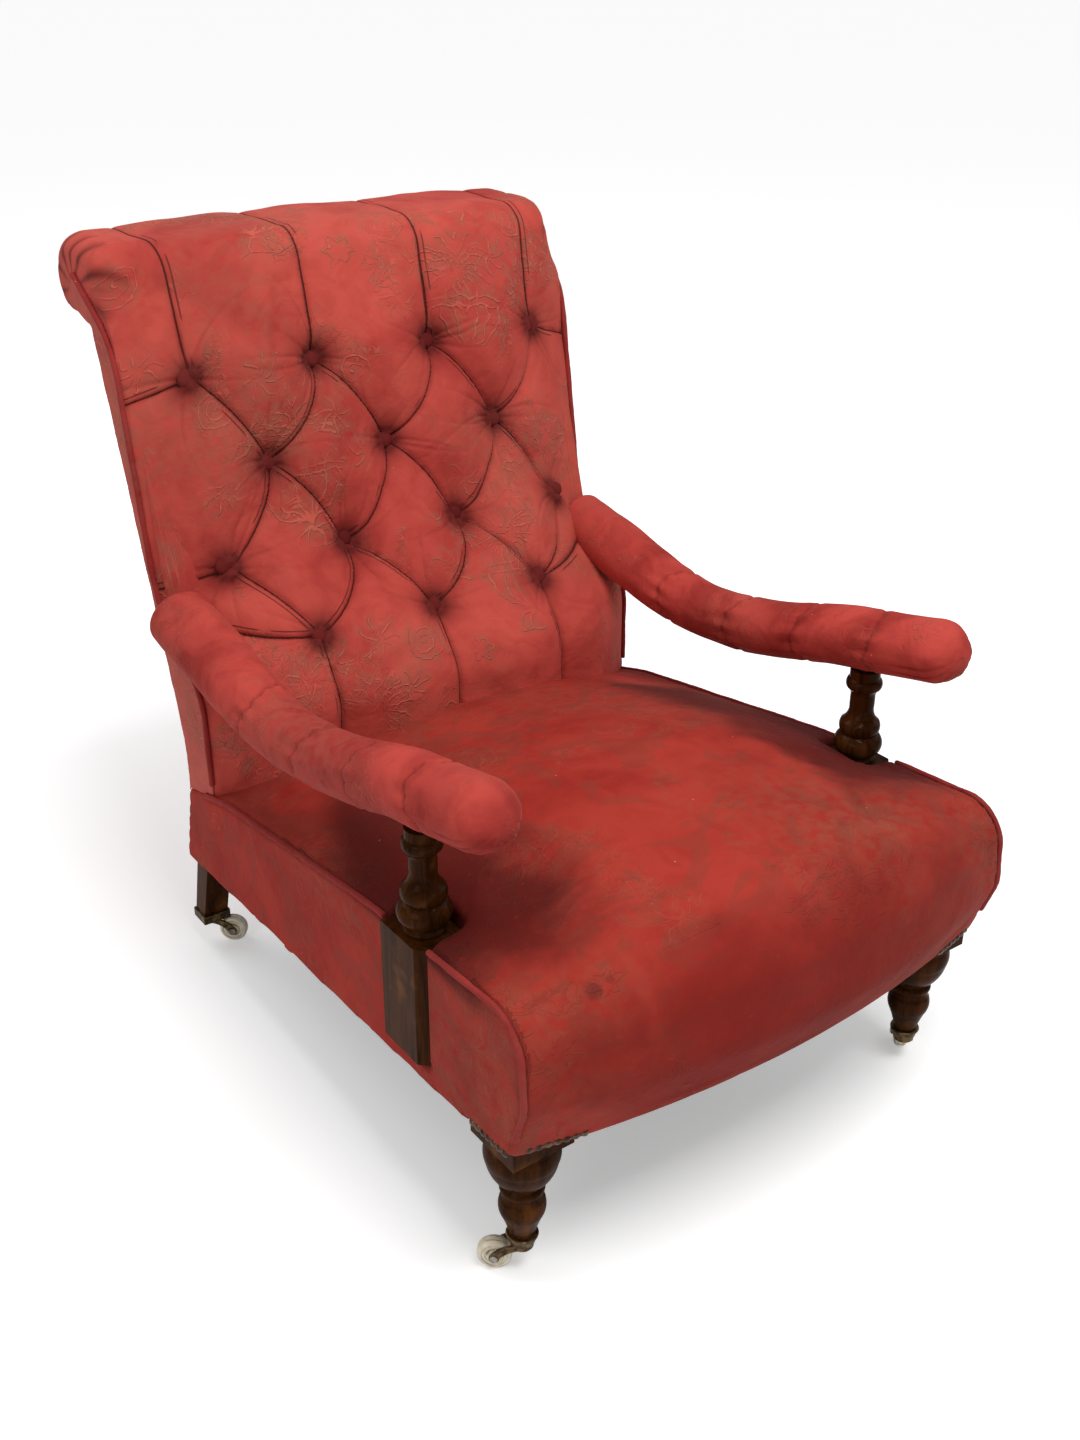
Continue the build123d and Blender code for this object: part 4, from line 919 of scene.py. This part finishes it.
# Each button is pinned to its place on the face, and the pleats run from pin to pin.
pins = {}
for row, (count, *_) in enumerate(button_rows):
    for column in range(count):
        centre, out = button_place(row, column)
        line, _ = evenly(back_face(centre[0]), back_rows)
        offset = line - centre[1:]
        height = offset @ out[1:]
        gap = np.abs(offset @ np.array([out[2], -out[1]])) + (height < 0)
        nearest = int(np.argmin(gap))
        pins[row, column] = (np.array([centre[0], drop[nearest]]), out, height[nearest])


def bowed(start, end, bow):
    """A gently curved run between two places on the face."""
    aside = np.array([end[1] - start[1], start[0] - end[0]]) / np.linalg.norm(end - start)
    middle = (start + end) / 2 + aside * bow
    shares = np.linspace(0, 1, 9)[:, None]
    return (1 - shares) ** 2 * start + 2 * shares * (1 - shares) * middle + shares**2 * end


pleats = []
for (row, column), (pin, _, _) in pins.items():
    count = button_rows[row][0]
    if row + 1 < len(button_rows):
        shift = (button_rows[row + 1][0] - count) / 2
        for step in (-0.5, 0.5):
            below = column + shift + step
            if (row + 1, int(below)) in pins and 0 <= below:
                pleats.append(bowed(pin, pins[row + 1, int(below)][0], pleat_bows[step]))
    if count == 4 and column in (0, count - 1):
        side = 1 if column else -1
        pleats.append(bowed(pin, np.array([side * back_half_width, pin[1] + 0.004]), 0.004 * side))
    if row == len(button_rows) - 1:
        pleats.append(bowed(pin, np.array([pin[0] * 1.04, -0.03]), 0.004))
        if column != 1:
            side = 1 if column else -1
            rise = pins[2, 0][0][1] - pin[1]
            far = np.array([side * back_half_width, pin[1] + 0.8 * rise])
            pleats.append(bowed(pin, far, 0.030 * side))
for column in range(button_rows[0][0]):
    pin = pins[0, column][0]
    pleats.append(bowed(pin, np.array([pin[0] * 1.03, face_length + 0.05]), 0.0))

# The pleats sink the face, and one lip of each folds over the other.
flat_x = np.broadcast_to(all_columns, face.shape[:2])
flat_s = np.broadcast_to(drop[:, None], face.shape[:2])
fullness = np.ones(face.shape[:2])
crack = np.zeros(face.shape[:2])
lap = np.zeros(face.shape[:2])
seam = np.full(face.shape[:2], off_seam)
for pleat in pleats:
    nearest = np.full(face.shape[:2], np.inf)
    beside = np.zeros(face.shape[:2])
    for start, end in zip(pleat, pleat[1:]):
        run = end - start
        along = (flat_x - start[0]) * run[0] + (flat_s - start[1]) * run[1]
        share = np.clip(along / (run @ run), 0, 1)
        gap_x = flat_x - start[0] - share * run[0]
        gap_s = flat_s - start[1] - share * run[1]
        gap = np.hypot(gap_x, gap_s)
        closer = gap < nearest
        nearest[closer] = gap[closer]
        beside[closer] = np.sign(gap_x * run[1] - gap_s * run[0])[closer]
    fullness *= 1 - np.exp(-((nearest / pleat_reach) ** 1.5))
    crack = np.maximum(crack, np.exp(-nearest / crack_reach))
    lap += np.exp(-nearest / flap_width) * (beside > 0)
    seam = np.where(nearest < np.abs(seam), nearest * beside, seam)
over_roll = np.clip((flat_s - pins[0, 0][0][1] - 0.03) / 0.10, 0, 1)
near_edge = (np.abs(flat_x) / back_half_width) ** 10
sink = pleat_depth * (1 - fullness) * (1 - 0.80 * over_roll) * (1 - 0.6 * near_edge)
sink += crack_depth * crack * (1 - 0.60 * over_roll) * (1 - 0.5 * near_edge)
# Painted shade: the creases are marked to be darkened, less over the roll.
fold_shade = crack * (0.55 - 0.35 * over_roll)

down_rows = np.gradient(face, axis=0)
down_columns = np.gradient(face, axis=1)
down_columns[:, :, 0] = np.maximum(down_columns[:, :, 0], 1e-4)
outward = np.cross(down_columns, down_rows)
outward /= np.linalg.norm(outward, axis=2, keepdims=True)
flap = np.minimum(lap, 1) * flap_height * (1 - 0.8 * over_roll)
dented = face - outward * (sink - flap)[:, :, None]
# Each button pulls a pit with short wrinkles round it.
pulls = np.random.default_rng(12)
for (row, column), (pin, out, height) in pins.items():
    away = np.hypot(flat_x - pin[0], flat_s - pin[1])
    bearing = np.arctan2(flat_s - pin[1], flat_x - pin[0])
    pull = np.exp(-((np.maximum(away - pit_rim, 0) / pit_reach) ** 1.25))
    pucker = np.zeros(away.shape)
    for wrinkle in range(wrinkles_each):
        lean = 2 * math.pi * (wrinkle + pulls.uniform(-0.3, 0.3)) / wrinkles_each
        turned = np.abs(np.angle(np.exp(1j * (bearing - lean - pulls.uniform(-6, 6) * away))))
        reach = pulls.uniform(0.010, 0.040)
        line = np.exp(-((turned * (away + 0.006) / wrinkle_width) ** 2))
        pucker = np.maximum(pucker, line * np.exp(-away / reach))
    pucker *= np.clip((away - 0.008) / 0.005, 0, 1)
    # Painted shade: the pit, a wider halo round it and its wrinkles are marked to be darkened.
    fold_shade = np.maximum(fold_shade, np.clip(pull * 1.3, 0, 1) * 0.9)
    fold_shade = np.maximum(fold_shade, 0.30 * np.exp(-away / pit_shade_reach))
    depth = (height - pleat_depth - crack_depth + 0.0006) * pull
    dented -= out * depth[:, :, None]
    dented -= outward * (wrinkle_depth * pucker)[:, :, None]
    fold_shade = np.maximum(fold_shade, 0.95 * pucker)
    seam = np.where(away < 0.009, off_seam, seam)
# The ends of the scroll are gathered in tucks, and the stuffing is a little lumpy throughout.
gathered = np.clip((np.abs(flat_x) - scroll_end_start) / (back_half_width - scroll_end_start), 0, 1)
gathered *= np.clip((face[:, :, 2] - 0.780) / 0.02, 0, 1)
round_heart = np.arctan2(face[:, :, 2] - scroll_heart[1], face[:, :, 1] - scroll_heart[0])
tucks = np.zeros(face.shape[:2])
for bearing, width, length in scroll_tucks:
    turned_by = np.abs(np.angle(np.exp(1j * (round_heart - bearing - 0.25 * (1 - gathered)))))
    inward = np.clip((gathered - 1 + length) / length, 0, 1) ** 0.6
    tucks = np.maximum(tucks, np.exp(-((turned_by / width) ** 2)) * inward)
dented -= outward * (gather_depth * tucks)[:, :, None]
# Painted shade: the tucks are marked to be darkened.
fold_shade = np.maximum(fold_shade, 0.9 * tucks)
waves = ripple(dented.reshape(-1, 3) * np.array([1, 1, 0.6]), 13.0, 3).reshape(face.shape[:2])
fine = ripple(dented.reshape(-1, 3), 34.0, 4).reshape(face.shape[:2])
middle_share = 1 - (np.abs(flat_x) / back_half_width) ** 8
dented += outward * ((waves * wave_height + fine * ripple_height) * middle_share)[:, :, None]
upright = np.clip((np.abs(flat_x) - scroll_end_start) / (bay_half_width - scroll_end_start), 0, 1)
dented[:, :, 0] += (flat_x - dented[:, :, 0]) * upright
dented[:, wall_columns - 1] = dented[:, wall_columns]
dented[:, -wall_columns] = dented[:, -wall_columns - 1]

# Inside, the stuffing lies round the crest rail and against the webbing, and at each side it
# reaches the rear.
inner_line = [
    (crest_rear, 0.7790), (crest_rear, crest_high), (crest_front, crest_high), (0.3560, crest_low),
    post_front_low,
]
back_grid = np.empty((back_rows + inner_rows, len(all_columns), 3))
back_grid[:back_rows] = dented
for place, x in enumerate(all_columns):
    under = face[-1, place, 1:]
    if place < wall_columns or place >= len(all_columns) - wall_columns:
        inner = [(rear_round(z) - 0.0005, z) for z in side_levels]
        floor_y = rear_round(seat_top(x, 0.24))
    else:
        floor_y = post_front_low[0]
        steps = np.linspace(post_front_low[1], seat_top(x, floor_y), inner_rows - 5)
        inner = [(under[0] - 0.0030, under[1] + 0.001), *inner_line, *((floor_y, z) for z in steps[1:-1])]
    inner.append((floor_y, seat_top(x, floor_y) + 0.0005))
    back_grid[back_rows:, place, 0] = x
    back_grid[back_rows:, place, 1:] = inner


def woven(name, grid, across, along):
    """A mesh from rows of points that close in a ring, with the cloth's own measure."""
    rows, columns, _ = grid.shape
    above = np.arange(rows * columns).reshape(rows, columns)
    below = np.roll(above, -1, axis=0)
    quads = np.stack([above[:, :-1], above[:, 1:], below[:, 1:], below[:, :-1]], axis=2).reshape(-1, 4)
    mesh = bpy.data.meshes.new(name)
    mesh.from_pydata(grid.reshape(-1, 3).tolist(), [], quads.tolist())
    measure = np.stack(np.broadcast_arrays(across, along), axis=2)
    closing = measure[:1].copy()
    closing[:, :, 1] = measure[-1, :, 1] + (measure[-1, :, 1] - measure[-2, :, 1])
    measure = np.concatenate([measure, closing])
    corners = [measure[:-1, :-1], measure[:-1, 1:], measure[1:, 1:], measure[1:, :-1]]
    laid_out(mesh, np.stack(corners, axis=2))
    return mesh


def carry(mesh, name, values):
    """Stores a number at each point of a mesh."""
    layer = mesh.attributes.new(name, "FLOAT", "POINT")
    layer.data.foreach_set("value", values)


def capped(mesh, loops):
    """Closes a mesh with a flat face over each loop of vertex numbers."""
    work = bmesh.new()
    work.from_mesh(mesh)
    work.verts.ensure_lookup_table()
    for loop in loops:
        rim = [work.verts[int(number)] for number in loop]
        for corners in geometry.tessellate_polygon([[spot.co for spot in rim]]):
            if len({rim[corner] for corner in corners}) == 3:
                work.faces.new([rim[corner] for corner in corners])
    bmesh.ops.recalc_face_normals(work, faces=work.faces)
    work.to_mesh(mesh)
    work.free()
    mesh.update()


def walled(mesh, loops):
    """Closes the sides of the back: strips to the rear line, and a fan round the scroll's heart."""
    work = bmesh.new()
    work.from_mesh(mesh)
    work.verts.ensure_lookup_table()
    cloth = work.loops.layers.uv["cloth"]
    for rim in [[work.verts[int(number)] for number in loop] for loop in loops]:
        x = rim[0].co.x
        heart = work.verts.new((x, *scroll_heart))
        low = next(place for place, spot in enumerate(rim) if spot.co.z > 0.7765)
        rear = [work.verts.new((x, rear_round(spot.co.z) - 0.0005, spot.co.z)) for spot in rim[:low]]
        sides = [(rim[low - 1], rim[low], heart, rear[-1]), (rim[-1], rear[-1], heart)]
        sides += [(rim[n], rim[n + 1], rear[n + 1], rear[n]) for n in range(low - 1)]
        sides += [(rim[n], rim[n + 1], heart) for n in range(low, len(rim) - 1)]
        for corners in sides:
            for corner in work.faces.new(corners).loops:
                corner[cloth].uv = (corner.vert.co.y, corner.vert.co.z)
    bmesh.ops.remove_doubles(work, verts=work.verts, dist=1e-6)
    bmesh.ops.recalc_face_normals(work, faces=work.faces)
    work.to_mesh(mesh)
    work.free()
    mesh.update()


row_measure = np.concatenate([drop, drop[-1] + np.arange(1, inner_rows + 1) * 0.02])
back_mesh = woven("back", back_grid, all_columns[None, :], row_measure[:, None])
numbers = np.arange(back_grid.shape[0] * back_grid.shape[1]).reshape(back_grid.shape[:2])
close = np.clip(1 - np.abs(seam) / 0.012, 0, 1)
for layer_name, values in (("fold_shade", fold_shade), ("seam", seam), ("pleat", close)):
    carry(back_mesh, layer_name, np.append(values.reshape(-1), np.zeros(inner_rows * len(all_columns))))
walled(back_mesh, [numbers[:back_rows, 0], numbers[:back_rows, -1]])
back = link_new("back", back_mesh)
dress(back, back_velvet, "back_cushion")


# Buttons
# Fourteen round moulds are covered in the same velvet, which is gathered in at the edge. A twine
# draws each down into its pit in the back.

button_sizes = {"Radius": 0.0098, "Height": 0.0066, "Edge": 0.0012, "Gather": 0.018}
button_gathers = 7
button_rings = 9
button_sides = 28
# Painted shade: the buttons' velvet is a much darker copy of the back's, for the shade of the pits they sit
# in.
shaded_button_velvet = velvet(
    "shaded_button_velvet", lit=(0.14, 0.011, 0.010), deep=(0.08, 0.004, 0.004), worn=(0.12, 0.020, 0.015),
    figure_strength=0.0, sheen=0.04,
)


def button_setting():
    """Sets a domed button, flat below and gathered round its edge, on each point of a mesh."""
    tree = bpy.data.node_groups.new("button_setting", "GeometryNodeTree")
    tree.interface.new_socket("Points", in_out="INPUT", socket_type="NodeSocketGeometry")
    for title in button_sizes:
        tree.interface.new_socket(title, in_out="INPUT", socket_type="NodeSocketFloat")
    tree.interface.new_socket("Buttons", in_out="OUTPUT", socket_type="NodeSocketGeometry")
    start = tree.nodes.new("NodeGroupInput")
    end = tree.nodes.new("NodeGroupOutput")
    wide, tall, edge, gather = (Field(tree, start.outputs[title]) for title in button_sizes)
    patch = tree.nodes.new("GeometryNodeMeshGrid")
    patch.inputs["Size X"].default_value = 1
    patch.inputs["Size Y"].default_value = 1
    patch.inputs["Vertices X"].default_value = button_rings + 1
    patch.inputs["Vertices Y"].default_value = button_sides + 1
    split = tree.nodes.new("ShaderNodeSeparateXYZ")
    tree.links.new(tree.nodes.new("GeometryNodeInputPosition").outputs[0], split.inputs[0])
    step = (Field(tree, split.outputs["X"]) + 0.5) * button_rings
    lean = (step - 1).most(0) * (math.pi / 2 / (button_rings - 1))
    level = lean.through("COSINE")
    bearing = (Field(tree, split.outputs["Y"]) + 0.5) * (-2 * math.pi)
    gathered = (bearing * button_gathers).through("COSINE") * level * gather + 1
    radius = wide * level.through("POWER", 0.8) * step.least(1) * gathered
    height = edge + (tall - edge) * lean.through("SINE")
    spot = tree.nodes.new("ShaderNodeCombineXYZ")
    tree.links.new((bearing.through("COSINE") * radius).socket, spot.inputs["X"])
    tree.links.new((bearing.through("SINE") * radius).socket, spot.inputs["Y"])
    tree.links.new(height.socket, spot.inputs["Z"])
    formed = tree.nodes.new("GeometryNodeSetPosition")
    tree.links.new(patch.outputs["Mesh"], formed.inputs["Geometry"])
    tree.links.new(spot.outputs[0], formed.inputs["Position"])
    joined = tree.nodes.new("GeometryNodeMergeByDistance")
    joined.inputs["Distance"].default_value = 1e-5
    turn = tree.nodes.new("GeometryNodeInputNamedAttribute")
    turn.data_type = "QUATERNION"
    turn.inputs["Name"].default_value = "turn"
    placed = tree.nodes.new("GeometryNodeInstanceOnPoints")
    tree.links.new(start.outputs["Points"], placed.inputs["Points"])
    tree.links.new(turn.outputs["Attribute"], placed.inputs["Rotation"])
    realised = tree.nodes.new("GeometryNodeRealizeInstances")
    covered = tree.nodes.new("GeometryNodeSetMaterial")
    covered.inputs["Material"].default_value = shaded_button_velvet
    smooth = tree.nodes.new("GeometryNodeSetShadeSmooth")
    for before, after, terminal in (
        (formed, joined, 0), (joined, smooth, 0), (smooth, placed, "Instance"),
        (placed, realised, 0), (realised, covered, 0), (covered, end, 0),
    ):
        tree.links.new(before.outputs[0], after.inputs[terminal])
    return tree


button_points = bpy.data.meshes.new("buttons")
button_points.from_pydata([button_place(*pin)[0].tolist() for pin in pins], [], [])
turns = button_points.attributes.new("turn", "QUATERNION", "POINT")
for number, (row, column) in enumerate(pins):
    spin = Quaternion((0, 0, 1), -row / button_gathers)
    turns.data[number].value = Vector(button_place(row, column)[1]).to_track_quat("Z", "Y") @ spin
buttons = link_new("buttons", button_points)
setting = buttons.modifiers.new("setting", "NODES")
setting.node_group = button_setting()
for terminal in setting.node_group.interface.items_tree:
    if terminal.name in button_sizes:
        setting[terminal.identifier] = button_sizes[terminal.name]
applied(buttons)
dress(buttons, shaded_button_velvet, "back_buttons")


# Arms
# Each arm is a rolled pad, stuffed over a wooden rail, gathered into its rounded front end
# and drawn in by a few hidden rows of stitches.

arm_x = 0.288
arm_line = (
    (-0.3840, 0.5130, 0.0352), (-0.3756, 0.5104, 0.0352), (-0.3548, 0.5050, 0.0352),
    (-0.2898, 0.4900, 0.0352), (-0.2202, 0.4750, 0.0350), (-0.1201, 0.4450, 0.0336),
    (-0.0402, 0.4300, 0.0336), (0.0300, 0.4250, 0.0340), (0.1100, 0.4350, 0.0362),
    (0.1800, 0.4500, 0.0380), (0.2660, 0.4650, 0.0380),
)
arm_rings = 200
arm_sides = 72
arm_nose = 0.034
nose_rings = 22
nose_tucks = 9
tuck_place = 0.045
arm_stitch_rows = (0.105, 0.215, 0.330, 0.455)
stitch_depth = 0.0028
stitch_width = 0.0042
arm_velvet = velvet(
    "arm_velvet", lit=(0.48, 0.056, 0.042), deep=(0.22, 0.011, 0.009), worn=(0.33, 0.064, 0.044),
    figure_strength=0.45, sheen=0.10,
)


def smooth_through(values, count):
    """A smooth line through each given row of values, evenly spaced by its place in the list."""
    values = np.array(values)
    padded = np.concatenate([[2 * values[0] - values[1]], values, [2 * values[-1] - values[-2]]])
    steps = np.linspace(0, len(values) - 1, count)
    index = np.minimum(steps.astype(int), len(values) - 2)
    share = (steps - index)[:, None]
    a, b, c, d = (padded[index + shift] for shift in range(4))
    squared = (2 * a - 5 * b + 4 * c - d) * share**2
    cubed = (3 * b - a - 3 * c + d) * share**3
    return 0.5 * (2 * b + (c - a) * share + squared + cubed)


def arm_mesh(name, side):
    """One padded arm, closed at both ends."""
    dense = smooth_through(arm_line, 900)
    steps = np.linalg.norm(np.diff(dense[:, :2], axis=0), axis=1)
    travelled = np.concatenate([[0], np.cumsum(steps)])
    nose = arm_nose * (1 - np.cos(np.linspace(0.06, math.pi / 2, nose_rings, endpoint=False)))
    places = np.concatenate([nose, np.linspace(arm_nose, travelled[-1], arm_rings - nose_rings)])
    spine = np.stack([np.interp(places, travelled, dense[:, axis]) for axis in range(3)], axis=1)
    spine[:, 2] *= np.sqrt(1 - np.clip(1 - places / arm_nose, 0, 1) ** 2)
    tangent = np.gradient(spine[:, :2], axis=0)
    tangent /= np.linalg.norm(tangent, axis=1, keepdims=True)
    angles = np.linspace(0, 2 * math.pi, arm_sides, endpoint=False)
    grid = np.empty((arm_sides, len(places), 3))
    # Painted shade: drawn marks the stitch lines and the tucks under the nose, which the velvet darkens.
    drawn = np.zeros((arm_sides, len(places)))
    for row, angle in enumerate(angles):
        across, up = math.cos(angle), math.sin(angle)
        gather = np.zeros(len(places))
        for number, stitched in enumerate(arm_stitch_rows):
            near = np.abs(places - stitched - 0.008 * math.sin(angle * 2 + number))
            gather -= stitch_depth * np.exp(-((near / stitch_width) ** 1.2))
            drawn[row] = np.maximum(drawn[row], 0.45 * np.exp(-((near / 0.0018) ** 2)))
            gather += 0.0021 * math.cos(angle * (9 + number) + number * 2.1) ** 3 * np.exp(-near / 0.018)
        under = np.clip(-up, 0, 1)
        from_tucks = np.abs(places - tuck_place)
        gather -= under * 0.0052 * math.cos(angle * nose_tucks) ** 6 * np.exp(-from_tucks / 0.026)
        tucked = math.cos(angle * nose_tucks) ** 16 * np.exp(-((from_tucks / 0.024) ** 2))
        drawn[row] = np.maximum(drawn[row], min(1, under * 2) * 0.85 * tucked)
        gather += 0.0018 * math.cos(angle * 6 + 0.7) ** 3 * np.exp(-places / 0.020)
        squash = 1 - 0.06 * under**2
        radius = spine[:, 2] * squash + gather * np.clip(places / 0.012, 0, 1)
        grid[row, :, 0] = side * (arm_x + across * radius)
        grid[row, :, 1] = spine[:, 0] - tangent[:, 1] * up * radius
        grid[row, :, 2] = spine[:, 1] + tangent[:, 0] * up * radius
    flat = grid.reshape(-1, 3)
    lumps = (ripple(flat, 17.0, 5) * 0.0012 + ripple(flat, 45.0, 6) * 0.0004).reshape(arm_sides, -1)
    centre = np.stack([np.full(len(places), side * arm_x), spine[:, 0], spine[:, 1]], axis=1)
    away = grid - centre[None]
    away /= np.maximum(np.linalg.norm(away, axis=2, keepdims=True), 1e-6)
    grid += away * lumps[:, :, None]
    mesh = woven(name, grid, places[None, :], (angles * 0.035)[:, None])
    carry(mesh, "fold_shade", drawn.reshape(-1))
    numbers = np.arange(grid.shape[0] * grid.shape[1]).reshape(grid.shape[:2])
    capped(mesh, [numbers[:, 0], numbers[:, -1]])
    return mesh


for side_name, side in (("left", -1), ("right", 1)):
    arm = link_new(f"{side_name}_arm", arm_mesh(f"{side_name}_arm", side))
    dress(arm, arm_velvet, f"{side_name}_arm_pad")


# Pipings and side facings
# A cord covered in the same velvet runs round the top of each side of the seat and round the
# flat facing that closes each side of the back, up to a tongue under the scroll.

piping_voxel = 0.0015
facing_voxel = 0.0013
trim_velvet = velvet(
    "trim_velvet", lit=(0.30, 0.030, 0.026), deep=(0.18, 0.010, 0.009), worn=(0.25, 0.055, 0.040),
    figure_strength=0.0, sheen=0.10,
)
side_velvet = velvet(
    "side_velvet", lit=(0.48, 0.094, 0.070), deep=(0.33, 0.046, 0.038), worn=(0.33, 0.100, 0.066),
    figure_strength=0.7,
)


def cover(node, name, voxel, unevenness, material):
    """A soft trim piece in the space of its CAD solid, evenly meshed and a little uneven."""
    piece = bare_copy(node, name)
    evened(piece, voxel, 5)
    places = places_of(piece.data)
    facing = normals_of(piece.data)
    shift = ripple(places, 40.0, 7) * unevenness + ripple(places, 150.0, 8) * unevenness * 0.4
    move_to(piece.data, places + facing * shift[:, None])
    lay_cloth(piece)
    dress(piece, material, node)


for side_name in ("left", "right"):
    cover(f"{side_name}_seat_piping", f"{side_name}_seat_cord", piping_voxel, 0.0007, trim_velvet)
    cover(f"{side_name}_back_piping", f"{side_name}_back_cord", piping_voxel, 0.0007, trim_velvet)
    cover(f"{side_name}_back_facing", f"{side_name}_facing", facing_voxel, 0.0006, side_velvet)


# Corner nails
# Close rows of small domed bronze nails hold the cover over each front leg. Their heads have
# turned dark.

bronze_tones = ((0.13, 0.085, 0.055), (0.060, 0.036, 0.024), (0.020, 0.013, 0.010))
nail_bronze = aged_metal("nail_bronze", *bronze_tones, roughness=0.16)
for side_name in ("left", "right"):
    finish_node(f"{side_name}_corner_nails", nail_bronze)


# Outside back
# One length of the velvet is drawn tight over the rear of the back and tacked along its
# edges. It bends at the knee, where the legs start to rake.

panel_low, panel_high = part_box("outside_back_panel")
panel_rows = 240
panel_columns = 200
panel_thickness = 0.0025
panel_pull = 0.0016


def drawn_panel():
    """The stretched cloth, with its pull lines from the tacked edges, closed all round."""
    heights = np.linspace(panel_low[2], panel_high[2], panel_rows)
    across = np.linspace(panel_low[0], panel_high[0], panel_columns)
    rear = np.array([rear_round(z) for z in heights])
    edge_x = 1 - (np.abs(across) / panel_high[0]) ** 6
    edge_z = 1 - np.abs(np.linspace(-1, 1, panel_rows)) ** 10
    grid = np.empty((panel_rows, panel_columns, 3))
    grid[:, :, 0] = across
    grid[:, :, 1] = rear[:, None] - panel_thickness
    grid[:, :, 2] = heights[:, None]
    flat = grid.reshape(-1, 3)
    waves = ripple(flat * np.array([3.0, 0.6, 0.6]), 9.0, 11) + 0.5 * ripple(flat, 21.0, 12)
    hollow = (waves.reshape(panel_rows, panel_columns) - 1) * panel_pull * edge_x[None, :] * edge_z[:, None]
    outer = grid.copy()
    outer[:, :, 1] += panel_thickness * (0.3 + 0.7 * np.minimum(edge_x[None, :], edge_z[:, None])) + hollow
    ringed = np.concatenate([outer, grid[::-1]])
    measure = np.concatenate([heights, heights[::-1]])
    mesh = woven("outside_back", ringed, across[None, :], measure[:, None])
    numbers = np.arange(ringed.shape[0] * panel_columns).reshape(-1, panel_columns)
    capped(mesh, [numbers[:, 0], numbers[:, -1]])
    return mesh


outside_back = link_new("outside_back", drawn_panel())
dress(outside_back, side_velvet, "outside_back_panel")


# Bottom cloth
# A sheet of black cotton is tacked under the seat frame, cut away round the front legs, and
# sags a little between its tacks.

bottom_width = 0.586
bottom_front_width = 0.462
bottom_corner = 0.081
bottom_sag = 0.004
bottom_thickness = 0.0010
bottom_columns = 120
bottom_rows = 140
cotton_thread = 0.0008
black_cotton = plain_weave(
    "black_cotton", cotton_thread, (0.022, 0.021, 0.022), (0.016, 0.015, 0.016), (0.006, 0.006, 0.006)
)

bottom_low, bottom_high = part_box("bottom_cloth")
bottom_mesh = bpy.data.meshes.new("bottom_cloth_sheet")
work = bmesh.new()
bottom_grid = []
for row in range(bottom_rows + 1):
    share = row / bottom_rows
    y = bottom_low[1] + (bottom_high[1] - bottom_low[1]) * share
    z = bottom_high[2] + (bottom_low[2] - bottom_high[2]) * share
    bottom_grid.append([])
    for column in range(bottom_columns + 1):
        x = bottom_width * (column / bottom_columns - 0.5)
        slack = math.sin(math.pi * share) ** 0.6 * math.cos(math.pi * x / bottom_width) ** 0.6
        wave = noise.noise(Vector((x * 22, y * 7, 3.0))) * 0.35 + 1
        bottom_grid[-1].append(work.verts.new((x, y, z - bottom_sag * slack * wave)))
for row in range(bottom_rows):
    for column in range(bottom_columns):
        corners = (
            bottom_grid[row][column], bottom_grid[row + 1][column],
            bottom_grid[row + 1][column + 1], bottom_grid[row][column + 1],
        )
        middle = sum((corner.co for corner in corners), Vector()) / 4
        if middle.y > bottom_low[1] + bottom_corner or abs(middle.x) < bottom_front_width / 2:
            work.faces.new(corners).smooth = True
bmesh.ops.delete(work, geom=[v for v in work.verts if not v.link_faces], context="VERTS")
work.to_mesh(bottom_mesh)
work.free()
bottom_cloth = link_new("bottom_sheet", bottom_mesh)
doubled = bottom_cloth.modifiers.new("doubled", "SOLIDIFY")
doubled.thickness = bottom_thickness
doubled.offset = 0
applied(bottom_cloth)
dress(bottom_cloth, black_cotton, "bottom_cloth")
